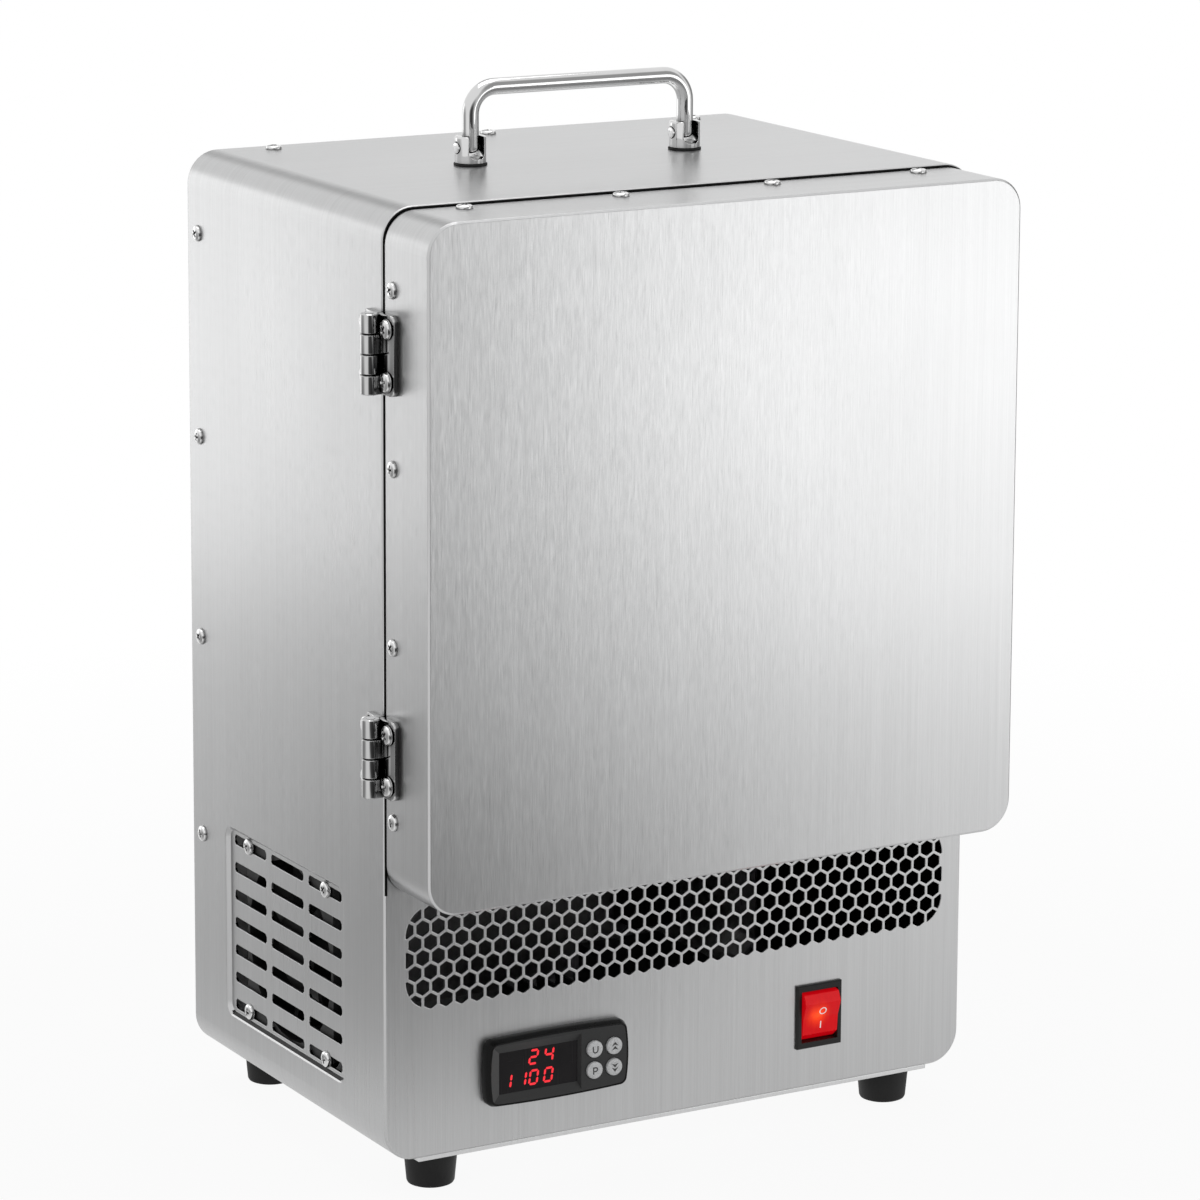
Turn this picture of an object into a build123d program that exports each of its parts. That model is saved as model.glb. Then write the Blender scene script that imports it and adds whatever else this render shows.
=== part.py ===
from build123d import *
import math
import os

os.makedirs("parts", exist_ok=True)

# Front-loading jewellery kiln, in millimetres.
# Drawn about the middle of the casing's footprint, and moved at the end so that
# the origin lies on the table under the middle of the whole object.
# +X runs to the right along the front, the front faces -Y and +Z is up.

# ---- driving dimensions ----
casing_width = 315.0
casing_depth = 204.0
casing_height = 444.5
corner_radius = 15.5
sheet = 1.2                 # steel sheet of the casing and the door
front_bend = 1.0            # bevel where the front meets the sides
foot_height = 16.5
base_thickness = 2.0
door_gap = 1.4              # slit between the door and the casing
door_thickness = 41.1
door_inset = 0.7            # the door is this much narrower on each side
door_top_inset = 1.5
door_bottom_rise = 127.8    # door's lower edge above the casing's lower edge
chamber_size = 180.0        # clear width and height of the firing chamber
chamber_depth = 118.0
handle_span = 117.0         # between the two handle posts
fan_size = 92.0
disc_sides = 24             # small round pieces that repeat are many-sided prisms
barrel_sides = 16
pin_sides = 12

# ---- positions worked out from them ----
front = -casing_depth / 2
back = casing_depth / 2
half_width = casing_width / 2
casing_bottom = foot_height + base_thickness
casing_top = casing_bottom + casing_height
casing_mid = (casing_bottom + casing_top) / 2
inner_half_width = half_width - sheet
inner_top = casing_top - sheet
inner_front = front + sheet
door_back = front - door_gap
door_front = door_back - door_thickness
door_width = casing_width - 2 * door_inset
door_half_width = door_width / 2
door_bottom = casing_bottom + door_bottom_rise
door_top = casing_top - door_top_inset
door_height = door_top - door_bottom
door_mid = (door_bottom + door_top) / 2
chamber_half = chamber_size / 2
chamber_bottom = door_mid - chamber_half
chamber_top = door_mid + chamber_half

front_plane = Plane.XZ.offset(-front)


pieces = []


def save(piece, name):
    """Name a finished piece and keep it for the end, where the frame's origin is set."""
    piece.part.label = name
    pieces.append(piece.part)


# ---- casing: one folded sheet with rounded corners and a flat front ----
base_flange = 14.0
base_half_width = half_width - corner_radius - 2.5
mouth_margin = 16.0         # chamber collar shown around the chamber's mouth
mouth_size = chamber_size + 2 * mouth_margin

grille_pitch = 8.1          # between neighbouring hexagons
grille_web = 1.3            # metal left between them
grille_rows = 7
grille_columns = 37
grille_half_width = 146.6
grille_low = casing_bottom + 71.1
grille_high = casing_bottom + 120.7
grille_corner = 14.2
grille_first_row = casing_bottom + 74.7
grille_smallest = 5.0       # clipped hexagons under this area are left out
hexagon_radius = (grille_pitch - grille_web) / math.sqrt(3)
grille_row_pitch = grille_pitch * math.sqrt(3) / 2

vent_depth = 2.0            # how far the side vent is pressed in
vent_y = front + 104.5
vent_z = casing_bottom + 73.4
vent_width = 127.0
vent_height = 95.0
vent_corner = 6.0
slot_length = 35.0
slot_height = 5.0
slot_cut = 1.4              # bevel on each corner of a slot
slot_pitch_y = 40.0
slot_pitch_z = 13.75
vent_face = -half_width + vent_depth
vent_inside = vent_face + sheet

controller_x = -69.3
controller_z = casing_bottom + 36.2
controller_cut_width = 71.0
controller_cut_height = 29.0
rocker_x = 76.5
rocker_z = casing_bottom + 35.6
rocker_cut_width = 22.0
rocker_cut_height = 28.0

handle_x = handle_span / 2

# honeycomb grille, its ends clipped by a rounded outline
with BuildSketch(front_plane) as grille:
    for row in range(grille_rows):
        row_z = grille_first_row + row * grille_row_pitch
        count = grille_columns - 1 if row % 2 == 0 else grille_columns
        with Locations((0, row_z)):
            with GridLocations(grille_pitch, 1, count, 1):
                RegularPolygon(hexagon_radius, 6, rotation=30)
    with Locations((0, (grille_low + grille_high) / 2)):
        RectangleRounded(
            2 * grille_half_width,
            grille_high - grille_low,
            grille_corner,
            mode=Mode.INTERSECT,
        )
grille_holes = [face for face in grille.sketch.faces() if face.area > grille_smallest]

with BuildPart() as casing_shell:
    with BuildSketch(front_plane):
        with Locations((0, casing_mid)):
            RectangleRounded(casing_width, casing_height, corner_radius)
    extrude(amount=-casing_depth)
    chamfer(casing_shell.faces().sort_by(Axis.Y)[0].edges(), length=front_bend)
    with BuildSketch(front_plane.offset(-sheet)):
        with Locations((0, casing_mid)):
            RectangleRounded(
                casing_width - 2 * sheet,
                casing_height - 2 * sheet,
                corner_radius - sheet,
            )
    extrude(amount=-casing_depth, mode=Mode.SUBTRACT)
    # the underside is open inside its turned-in flanges
    with BuildSketch(Plane.XY.offset(casing_bottom)):
        with Locations((0, (inner_front + base_flange + back) / 2)):
            Rectangle(
                2 * (base_half_width - base_flange),
                back - inner_front - base_flange,
            )
    extrude(amount=sheet, mode=Mode.SUBTRACT)
    # mouth of the firing chamber, behind the door
    with BuildSketch(front_plane):
        with Locations((0, door_mid)):
            Rectangle(mouth_size, mouth_size)
    extrude(amount=-sheet, mode=Mode.SUBTRACT)
    # cut-outs of the controller and of the rocker switch
    with BuildSketch(front_plane):
        with Locations((controller_x, controller_z)):
            Rectangle(controller_cut_width, controller_cut_height)
        with Locations((rocker_x, rocker_z)):
            Rectangle(rocker_cut_width, rocker_cut_height)
    extrude(amount=-sheet, mode=Mode.SUBTRACT)
    # pressed-in vent on the left side, with three columns of slots
    with BuildSketch(Plane.YZ.offset(-half_width)):
        with Locations((vent_y, vent_z)):
            RectangleRounded(vent_width + 2 * sheet, vent_height + 2 * sheet, vent_corner)
    extrude(amount=vent_depth + sheet, taper=45)
    with BuildSketch(Plane.YZ.offset(-half_width)):
        with Locations((vent_y, vent_z)):
            RectangleRounded(vent_width, vent_height, vent_corner)
    extrude(amount=vent_depth, taper=45, mode=Mode.SUBTRACT)
    with BuildSketch(Plane.YZ.offset(vent_face)) as side_slots:
        with Locations((vent_y, vent_z)):
            with GridLocations(slot_pitch_y, slot_pitch_z, 3, 7):
                Rectangle(slot_length, slot_height)
        chamfer(side_slots.vertices(), slot_cut)
    extrude(amount=sheet, mode=Mode.SUBTRACT)
    # honeycomb grille
    extrude(grille_holes, amount=-sheet, mode=Mode.SUBTRACT)
save(casing_shell, "casing_shell")

# ---- base plate under the flanges, and its four rubber feet ----
foot_x = 125.0
foot_inset = 22.0
foot_top_radius = 12.6
foot_bottom_radius = 10.9
foot_recess_radius = 5.0
foot_recess_depth = 11.0
foot_y = casing_depth / 2 - foot_inset
foot_taper = math.degrees(math.atan((foot_top_radius - foot_bottom_radius) / foot_height))

with BuildPart() as base_plate:
    with BuildSketch(Plane.XY.offset(foot_height)):
        Rectangle(2 * base_half_width, casing_depth - 2 * front_bend)
    extrude(amount=base_thickness)
save(base_plate, "base_plate")

with BuildPart() as rubber_feet:
    # tapered feet, each with a recess for its screw
    with BuildSketch(Plane(origin=(0, 0, foot_height), z_dir=(0, 0, -1))):
        with GridLocations(2 * foot_x, 2 * foot_y, 2, 2):
            RegularPolygon(foot_top_radius, barrel_sides)
    extrude(amount=foot_height, taper=foot_taper)
    with BuildSketch(Plane.XY):
        with GridLocations(2 * foot_x, 2 * foot_y, 2, 2):
            RegularPolygon(foot_recess_radius, 8)
    extrude(amount=foot_recess_depth, mode=Mode.SUBTRACT)
save(rubber_feet, "rubber_feet")

# ---- back panel: a tray with flanges, set into the casing from behind ----
back_inset = 1.5
back_flange = 14.0
back_corner = 9.0           # bevelled inner corners
back_face = back - back_inset
back_inner = back_face - sheet
back_slot_rows = 2
back_slot_columns = 4
back_slot_pitch_x = 52.0
back_slot_pitch_z = 13.75
back_slot_z = casing_bottom + 395.0
inlet_x = 92.0
inlet_z = casing_bottom + 40.0
inlet_cut_width = 27.6
inlet_cut_height = 20.4
back_plane = Plane.XZ.offset(-back_face)

with BuildPart() as back_panel:
    with BuildSketch(back_plane):
        with Locations((0, casing_mid)):
            RectangleRounded(
                casing_width - 2 * sheet,
                casing_height - 2 * sheet,
                corner_radius - sheet,
            )
    extrude(amount=back_flange + sheet)
    with BuildSketch(back_plane.offset(sheet)) as back_hollow:
        with Locations((0, casing_mid)):
            Rectangle(casing_width - 4 * sheet, casing_height - 4 * sheet)
        chamfer(back_hollow.vertices(), back_corner)
    extrude(amount=back_flange, mode=Mode.SUBTRACT)
    with BuildSketch(back_plane) as back_slots:
        with Locations((0, back_slot_z)):
            with GridLocations(
                back_slot_pitch_x, back_slot_pitch_z, back_slot_columns, back_slot_rows
            ):
                Rectangle(slot_length, slot_height)
        chamfer(back_slots.vertices(), slot_cut)
        with Locations((inlet_x, inlet_z)):
            Rectangle(inlet_cut_width, inlet_cut_height)
    extrude(amount=sheet, mode=Mode.SUBTRACT)
save(back_panel, "back_panel")

# ---- partition between the firing section and the electronics ----
partition_flange = 4.0
partition_z = casing_bottom + 126.0
partition_rear = back_inner - back_flange

with BuildPart() as partition_plate:
    with BuildSketch(Plane.XY.offset(partition_z)):
        with Locations((0, (inner_front + partition_rear) / 2)):
            Rectangle(2 * inner_half_width, partition_rear - inner_front)
    extrude(amount=sheet)
    with BuildSketch(Plane.XY.offset(partition_z)):
        with Locations((0, (inner_front + partition_rear) / 2)):
            with GridLocations(2 * inner_half_width - sheet, 1, 2, 1):
                Rectangle(sheet, partition_rear - inner_front)
    extrude(amount=-partition_flange)
save(partition_plate, "partition_plate")

# ---- firing chamber: five refractory slabs inside a moulded fibre jacket ----
slab = 28.0
collar_depth = 12.0
muffle_half = chamber_half + slab
chamber_front = inner_front + collar_depth
chamber_rear = chamber_front + chamber_depth
slab_rear = chamber_rear + slab
jacket_wall = 20.0
jacket_rear = slab_rear + jacket_wall
jacket_bottom = partition_z + sheet

element_radius = 3.5        # outside of the heating coil
element_groove = 3.8
element_count = 4
element_pitch = 40.0
element_start = chamber_front + 8.0
element_tail = 3.2
element_tail_hole = 3.6
element_tail_end = jacket_rear + 8.0
element_x = chamber_half + element_groove + 0.6
groove_depth = element_x - chamber_half + element_groove
thermocouple_radius = 3.0
thermocouple_z = door_mid + 66.0

slab_plane = Plane.XZ.offset(-chamber_front)
slab_rear_plane = Plane.XZ.offset(-chamber_rear)
jacket_plane = Plane.XZ.offset(-inner_front)
tail_places = [
    (side * element_x, door_mid + (index - (element_count - 1) / 2) * element_pitch)
    for side in (-1, 1)
    for index in range(element_count)
]

with BuildPart() as insulation_jacket:
    with BuildSketch(jacket_plane) as jacket_outline:
        with Locations((0, (jacket_bottom + inner_top) / 2)):
            Rectangle(2 * inner_half_width, inner_top - jacket_bottom)
        fillet(jacket_outline.vertices().group_by(Axis.Y)[-1], radius=corner_radius - sheet)
    extrude(amount=-(jacket_rear - inner_front))
    with BuildSketch(jacket_plane):
        with Locations((0, door_mid)):
            Rectangle(2 * muffle_half, 2 * muffle_half)
    extrude(amount=-(slab_rear - inner_front), mode=Mode.SUBTRACT)
    with BuildSketch(jacket_plane):
        with Locations(*tail_places):
            Rectangle(element_tail_hole, element_tail_hole)
        with Locations((0, thermocouple_z)):
            RegularPolygon(thermocouple_radius, pin_sides)
    extrude(amount=-(jacket_rear - inner_front), mode=Mode.SUBTRACT)
save(insulation_jacket, "insulation_jacket")

with BuildPart() as chamber_collar:
    with BuildSketch(jacket_plane):
        with Locations((0, door_mid)):
            Rectangle(2 * muffle_half, 2 * muffle_half)
            Rectangle(chamber_size, chamber_size, mode=Mode.SUBTRACT)
    extrude(amount=-collar_depth)
save(chamber_collar, "chamber_collar")


def side_slab(side):
    """One side wall of the chamber, with open grooves for the heating coils."""
    with BuildPart() as wall:
        with BuildSketch(slab_plane):
            with Locations((side * (chamber_half + slab / 2), door_mid)):
                Rectangle(slab, 2 * muffle_half)
        extrude(amount=-chamber_depth)
        with BuildSketch(slab_plane.offset(chamber_front - element_start)):
            with Locations((side * chamber_half, door_mid)):
                with GridLocations(1, element_pitch, 1, element_count):
                    Rectangle(2 * groove_depth, 2 * element_groove)
        extrude(amount=-(chamber_rear - element_start), mode=Mode.SUBTRACT)
    return wall


muffle_left = side_slab(-1)
save(muffle_left, "muffle_left")
muffle_right = side_slab(1)
save(muffle_right, "muffle_right")

with BuildPart() as muffle_floor:
    with BuildSketch(slab_plane):
        with Locations((0, chamber_bottom - slab / 2)):
            Rectangle(chamber_size, slab)
    extrude(amount=-chamber_depth)
save(muffle_floor, "muffle_floor")

with BuildPart() as muffle_roof:
    with BuildSketch(slab_plane):
        with Locations((0, chamber_top + slab / 2)):
            Rectangle(chamber_size, slab)
    extrude(amount=-chamber_depth)
save(muffle_roof, "muffle_roof")

with BuildPart() as muffle_back:
    with BuildSketch(slab_rear_plane):
        with Locations((0, door_mid)):
            Rectangle(2 * muffle_half, 2 * muffle_half)
        with Locations(*tail_places):
            Rectangle(element_tail_hole, element_tail_hole, mode=Mode.SUBTRACT)
        with Locations((0, thermocouple_z)):
            RegularPolygon(thermocouple_radius, pin_sides, mode=Mode.SUBTRACT)
    extrude(amount=-slab)
save(muffle_back, "muffle_back")


def heating_element(side):
    """Coils of one side wall, as the cylinders that the wire winds round."""
    with BuildPart() as element:
        with BuildSketch(Plane.XZ.offset(-element_start)):
            with Locations((side * element_x, door_mid)):
                with GridLocations(1, element_pitch, 1, element_count):
                    RegularPolygon(element_radius, pin_sides)
        extrude(amount=-(chamber_rear - element_start))
        with BuildSketch(Plane.XZ.offset(-chamber_rear)):
            with Locations((side * element_x, door_mid)):
                with GridLocations(1, element_pitch, 1, element_count):
                    Rectangle(element_tail, element_tail)
        extrude(amount=-(element_tail_end - chamber_rear))
    return element


element_left = heating_element(-1)
save(element_left, "heating_element_left")
element_right = heating_element(1)
save(element_right, "heating_element_right")

# flat links that join the coils in pairs behind the jacket
link_width = 9.0
link_thickness = 2.0

with BuildPart() as element_links:
    with BuildSketch(Plane.XZ.offset(-element_tail_end)):
        with Locations((0, door_mid)):
            with GridLocations(2 * element_x, 2 * element_pitch, 2, 2):
                Rectangle(link_width, element_pitch + link_width)
    extrude(amount=-link_thickness)
save(element_links, "element_links")

thermocouple_reach = 25.0
thermocouple_head_radius = 7.0
thermocouple_head_length = 13.0

with BuildPart() as thermocouple:
    with BuildSketch(Plane.XZ.offset(-(chamber_rear - thermocouple_reach))):
        with Locations((0, thermocouple_z)):
            RegularPolygon(thermocouple_radius, pin_sides)
    extrude(amount=-(jacket_rear - chamber_rear + thermocouple_reach))
    with BuildSketch(Plane.XZ.offset(-jacket_rear)):
        with Locations((0, thermocouple_z)):
            RegularPolygon(thermocouple_head_radius, pin_sides)
    extrude(amount=-thermocouple_head_length)
save(thermocouple, "thermocouple")

shelf_width = 150.0
shelf_depth = 98.0
shelf_thickness = 8.0
shelf_corner = 3.0

with BuildPart() as kiln_shelf:
    with BuildSketch(Plane.XY.offset(chamber_bottom)) as shelf_outline:
        with Locations((0, (chamber_front + chamber_rear) / 2)):
            Rectangle(shelf_width, shelf_depth)
        chamfer(shelf_outline.vertices(), shelf_corner)
    extrude(amount=shelf_thickness)
save(kiln_shelf, "kiln_shelf")

# ---- door: folded pan, screwed inner plate, insulation and gasket ----
door_corner = 15.0
plate_flange = 14.0
plate_corner = door_corner - sheet  # bevelled corners inside the door's rounded ones
plug_clearance = 3.0
plug_depth = 10.0
plug_size = chamber_size - 2 * plug_clearance
plug_draft = 6.0
board_clearance = 1.0
gasket_width = 10.0
gasket_clearance = 0.3
gasket_inner = chamber_size + 4.0
door_front_plane = Plane.XZ.offset(-door_front)
door_back_plane = Plane.XZ.offset(-door_back)

with BuildPart() as door_shell:
    with BuildSketch(door_front_plane):
        with Locations((0, door_mid)):
            RectangleRounded(door_width, door_height, door_corner)
    extrude(amount=-door_thickness)
    chamfer(door_shell.faces().sort_by(Axis.Y)[0].edges(), length=front_bend)
    with BuildSketch(door_front_plane.offset(-sheet)):
        with Locations((0, door_mid)):
            RectangleRounded(
                door_width - 2 * sheet, door_height - 2 * sheet, door_corner - sheet
            )
    extrude(amount=-door_thickness, mode=Mode.SUBTRACT)
save(door_shell, "door_shell")

with BuildPart() as door_inner_plate:
    with BuildSketch(door_back_plane) as plate_outline:
        with Locations((0, door_mid)):
            Rectangle(door_width - 2 * sheet, door_height - 2 * sheet)
        chamfer(plate_outline.vertices(), plate_corner)
    extrude(amount=plate_flange)
    with BuildSketch(door_back_plane.offset(sheet)) as plate_hollow:
        with Locations((0, door_mid)):
            Rectangle(door_width - 4 * sheet, door_height - 4 * sheet)
        chamfer(plate_hollow.vertices(), plate_corner)
    extrude(amount=plate_flange, mode=Mode.SUBTRACT)
    with BuildSketch(door_back_plane):
        with Locations((0, door_mid)):
            Rectangle(plug_size, plug_size)
    extrude(amount=sheet, mode=Mode.SUBTRACT)
save(door_inner_plate, "door_inner_plate")

with BuildPart() as door_insulation:
    with BuildSketch(door_back_plane.offset(sheet)) as board_outline:
        with Locations((0, door_mid)):
            Rectangle(
                door_width - 4 * sheet - board_clearance,
                door_height - 4 * sheet - board_clearance,
            )
        chamfer(board_outline.vertices(), plate_corner)
    extrude(amount=door_thickness - 2 * sheet)
save(door_insulation, "door_insulation")

with BuildPart() as door_plug:
    with BuildSketch(door_back_plane.offset(sheet)):
        with Locations((0, door_mid)):
            Rectangle(plug_size, plug_size)
    extrude(amount=-sheet)
    with BuildSketch(door_back_plane):
        with Locations((0, door_mid)):
            Rectangle(plug_size, plug_size)
    extrude(amount=-(door_gap + plug_depth), taper=plug_draft)
save(door_plug, "door_plug")

with BuildPart() as door_gasket:
    with BuildSketch(door_back_plane):
        with Locations((0, door_mid)):
            Rectangle(gasket_inner + 2 * gasket_width, gasket_inner + 2 * gasket_width)
            Rectangle(gasket_inner, gasket_inner, mode=Mode.SUBTRACT)
    extrude(amount=-(door_gap + sheet - gasket_clearance))
save(door_gasket, "door_gasket")

# ---- two four-knuckle butt hinges on the left ----
hinge_height = 37.0
lower_hinge_rise = 66.2     # hinge's middle above the door's bottom
upper_hinge_drop = 63.4     # hinge's middle below the door's top
hinge_offset = 6.8          # axis outside the casing's side
barrel_radius = 4.25
hinge_pin_radius = 2.0
leaf_thickness = 3.1
leaf_reach = 17.2
leaf_corner = 1.8
leaf_bevel = 1.2
leaf_slit = 0.5             # leaf's root stays this far off the axis plane
knuckle_count = 4
knuckle_play = 0.12
knuckle_clearance = 0.35
pin_fit = 0.04
knuckle_height = hinge_height / knuckle_count
axis_x = -half_width - hinge_offset
axis_y = front - door_gap / 2
leaf_outer_x = -half_width - leaf_thickness


def hinge_leaf(middle_z, side, first_knuckle, leaf_side_x):
    """A leaf lying on a side wall; side is -1 for the door's and 1 for the casing's."""
    low = middle_z - hinge_height / 2
    thickness = leaf_side_x - leaf_outer_x
    own = range(first_knuckle, knuckle_count, 2)
    other = range(1 - first_knuckle, knuckle_count, 2)
    with BuildPart() as leaf:
        # the plate, its far corners cut and its outer rim bevelled
        with BuildSketch(Plane.YZ.offset(leaf_outer_x)) as plate:
            with Locations((axis_y + side * (leaf_reach + leaf_slit) / 2, middle_z)):
                Rectangle(leaf_reach - leaf_slit, hinge_height)
            chamfer(plate.vertices().group_by(Axis.X)[0 if side < 0 else -1], leaf_corner)
        extrude(amount=thickness)
        rim = leaf.faces().sort_by(Axis.X)[0].edges().sort_by(Axis.Y)
        rim = rim[:-1] if side < 0 else rim[1:]
        chamfer(rim, length=leaf_bevel)
        # every other knuckle belongs to this leaf
        for index in own:
            with BuildSketch(Plane.XY.offset(low + index * knuckle_height + knuckle_play)):
                with Locations((axis_x, axis_y)):
                    RegularPolygon(barrel_radius, barrel_sides)
                with Locations(((axis_x + leaf_outer_x) / 2, axis_y + side * barrel_radius / 2)):
                    Rectangle(axis_x - leaf_outer_x, barrel_radius)
            extrude(amount=knuckle_height - 2 * knuckle_play)
        for index in other:
            with BuildSketch(Plane.XY.offset(low + index * knuckle_height - knuckle_play)):
                with Locations((axis_x, axis_y)):
                    RegularPolygon(barrel_radius + knuckle_clearance, barrel_sides)
            extrude(amount=knuckle_height + 2 * knuckle_play, mode=Mode.SUBTRACT)
        # the door's knuckles turn on the pin, the casing's hold it fast
        with BuildSketch(Plane.XY.offset(low)):
            with Locations((axis_x, axis_y)):
                if side < 0:
                    RegularPolygon(hinge_pin_radius + pin_fit, pin_sides, major_radius=False)
                else:
                    RegularPolygon(hinge_pin_radius, pin_sides)
        extrude(amount=hinge_height, mode=Mode.SUBTRACT)
    return leaf


def hinge_pin(middle_z):
    """The straight pin through all four knuckles, fixed in the casing's leaf."""
    with BuildPart() as pin:
        with BuildSketch(Plane.XY.offset(middle_z - hinge_height / 2)):
            with Locations((axis_x, axis_y)):
                RegularPolygon(hinge_pin_radius, pin_sides)
        extrude(amount=hinge_height)
    return pin


for place, middle_z in (
    ("lower", door_bottom + lower_hinge_rise),
    ("upper", door_top - upper_hinge_drop),
):
    save(hinge_leaf(middle_z, -1, 0, -door_half_width), f"{place}_hinge_door_leaf")
    save(hinge_leaf(middle_z, 1, 1, -half_width), f"{place}_hinge_casing_leaf")
    save(hinge_pin(middle_z), f"{place}_hinge_pin")

# ---- folding carry handle on two slotted posts ----
bar_radius = 4.0
bar_bend = 12.5
handle_rise = 36.5          # bar's centre line above the casing's top
washer_radius = 8.0
washer_thickness = 1.0
post_radius = 7.5
post_height = 12.8
post_bevel = 1.0
post_slot = 8.3
pivot_rise = 7.4            # handle pin above the post's foot
bar_end_drop = 3.0          # bar's cut end below the handle pin
bar_end_play = 0.4
handle_pin_radius = 1.6
handle_pin_head = 2.6
handle_pin_proud = 0.7
post_bottom = casing_top + washer_thickness
post_top = post_bottom + post_height
pivot_z = post_bottom + pivot_rise
bar_z = casing_top + handle_rise
bar_end = pivot_z - bar_end_drop
# the bar's cut end swings clear of the slot's floor
slot_floor = pivot_z - math.hypot(bar_end_drop, bar_radius) - bar_end_play

with BuildPart() as handle_washers:
    with BuildSketch(Plane.XY.offset(casing_top)):
        with GridLocations(handle_span, 1, 2, 1):
            RegularPolygon(washer_radius, disc_sides)
    extrude(amount=washer_thickness)
save(handle_washers, "handle_washers")


def handle_post(middle_x):
    """A turned post, slotted from the top for the handle's end."""
    with BuildPart() as post:
        with BuildSketch(Plane.XY.offset(post_bottom)):
            with Locations((middle_x, 0)):
                RegularPolygon(post_radius, disc_sides)
        extrude(amount=post_height)
        chamfer(post.faces().sort_by(Axis.Z)[-1].edges(), length=post_bevel)
        with BuildSketch(Plane.XZ.offset(-post_radius)):
            with Locations((middle_x, (slot_floor + post_top) / 2)):
                Rectangle(post_slot, post_top - slot_floor)
        extrude(amount=2 * post_radius, mode=Mode.SUBTRACT)
        with BuildSketch(Plane.YZ.offset(middle_x - post_radius)):
            with Locations((0, pivot_z)):
                RegularPolygon(handle_pin_radius, pin_sides)
        extrude(amount=2 * post_radius, mode=Mode.SUBTRACT)
    return post


save(handle_post(-handle_x), "left_handle_post")
save(handle_post(handle_x), "right_handle_post")

with BuildPart() as handle_pins:
    for middle_x in (-handle_x, handle_x):
        with BuildSketch(Plane.YZ.offset(middle_x - post_radius)):
            with Locations((0, pivot_z)):
                RegularPolygon(handle_pin_radius, pin_sides)
        extrude(amount=2 * post_radius - handle_pin_proud)
        with BuildSketch(Plane.YZ.offset(middle_x - post_radius)):
            with Locations((0, pivot_z)):
                RegularPolygon(handle_pin_head, pin_sides)
        extrude(amount=-handle_pin_proud)
save(handle_pins, "handle_pins")

with BuildPart() as carry_handle:
    with BuildLine() as bar_path:
        FilletPolyline(
            (-handle_x, 0, bar_end),
            (-handle_x, 0, bar_z),
            (handle_x, 0, bar_z),
            (handle_x, 0, bar_end),
            radius=bar_bend,
        )
    with BuildSketch(Plane.XY.offset(bar_end)):
        with Locations((-handle_x, 0)):
            Circle(bar_radius)
    sweep(path=bar_path.line)
    # holes of the two pins
    with BuildSketch(Plane.YZ.offset(-handle_x - post_radius)):
        with Locations((0, pivot_z)):
            RegularPolygon(handle_pin_radius + pin_fit, pin_sides, major_radius=False)
    extrude(amount=handle_span + 2 * post_radius, mode=Mode.SUBTRACT)
save(carry_handle, "carry_handle")

# ---- cooling fan behind the side vent ----
fan_depth = 25.0
fan_flange = 3.5
fan_corner = 4.0
fan_bore = 43.5
fan_barrel = 45.3
fan_hub = 19.0
fan_tip = 42.3
fan_hub_depth = 18.0
fan_axle = 1.5
fan_axle_fit = 0.05
fan_strut = 4.0
fan_strut_depth = 3.0
fan_running_gap = 0.6
fan_sides = 28
blade_count = 7
blade_chord = 21.0
blade_camber = 1.6
blade_thickness = 1.6
blade_pitch = 38.0
fan_plane = Plane.YZ.offset(vent_inside)
fan_rear = vent_inside + fan_depth
fan_hub_front = fan_rear - fan_strut_depth - fan_running_gap

with BuildPart() as fan_frame:
    with BuildSketch(fan_plane, fan_plane.offset(fan_depth - fan_flange)) as flanges:
        with Locations((vent_y, vent_z)):
            Rectangle(fan_size, fan_size)
        chamfer(flanges.vertices(), fan_corner)
    extrude(amount=fan_flange)
    with BuildSketch(fan_plane):
        with Locations((vent_y, vent_z)):
            RegularPolygon(fan_barrel, fan_sides, major_radius=False)
    extrude(amount=fan_depth)
    with BuildSketch(fan_plane):
        with Locations((vent_y, vent_z)):
            RegularPolygon(fan_bore, fan_sides, major_radius=False)
    extrude(amount=fan_depth, mode=Mode.SUBTRACT)
    # motor mount held by four struts at the inner end
    with BuildSketch(Plane.YZ.offset(fan_rear - fan_strut_depth)):
        with Locations((vent_y, vent_z)):
            Rectangle(2 * fan_barrel, fan_strut)
            Rectangle(fan_strut, 2 * fan_barrel)
            RegularPolygon(fan_hub, disc_sides)
            RegularPolygon(
                fan_axle + fan_axle_fit,
                pin_sides,
                major_radius=False,
                mode=Mode.SUBTRACT,
            )
    extrude(amount=fan_strut_depth)
save(fan_frame, "fan_frame")

with BuildPart() as fan_rotor:
    with BuildSketch(Plane.YZ.offset(fan_hub_front - fan_hub_depth)):
        with Locations((vent_y, vent_z)):
            RegularPolygon(fan_hub, disc_sides)
    extrude(amount=fan_hub_depth)
    with BuildSketch(Plane.YZ.offset(fan_hub_front)):
        with Locations((vent_y, vent_z)):
            RegularPolygon(fan_axle, pin_sides)
    extrude(amount=fan_rear - fan_hub_front)
    # cambered blades, set at a pitch to the disc
    hub_middle = Vector(fan_hub_front - fan_hub_depth / 2, vent_y, vent_z)
    blade_root = fan_hub - 1
    along = math.cos(math.radians(blade_pitch))
    across = math.sin(math.radians(blade_pitch))
    for index in range(blade_count):
        turn = 360 * index / blade_count
        outward = Vector(0, 0, 1).rotate(Axis.X, turn)
        sideways = Vector(0, 1, 0).rotate(Axis.X, turn)
        station = Plane(
            origin=hub_middle + outward * blade_root,
            x_dir=sideways * along - Vector(across, 0, 0),
            z_dir=outward,
        )
        with BuildSketch(station):
            with BuildLine():
                Polyline(
                    (-blade_chord / 2, 0),
                    (0, blade_camber),
                    (blade_chord / 2, 0),
                    (blade_chord / 2, -blade_thickness),
                    (0, blade_camber - blade_thickness),
                    (-blade_chord / 2, -blade_thickness),
                    close=True,
                )
            make_face()
        extrude(amount=fan_tip - blade_root)
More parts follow.
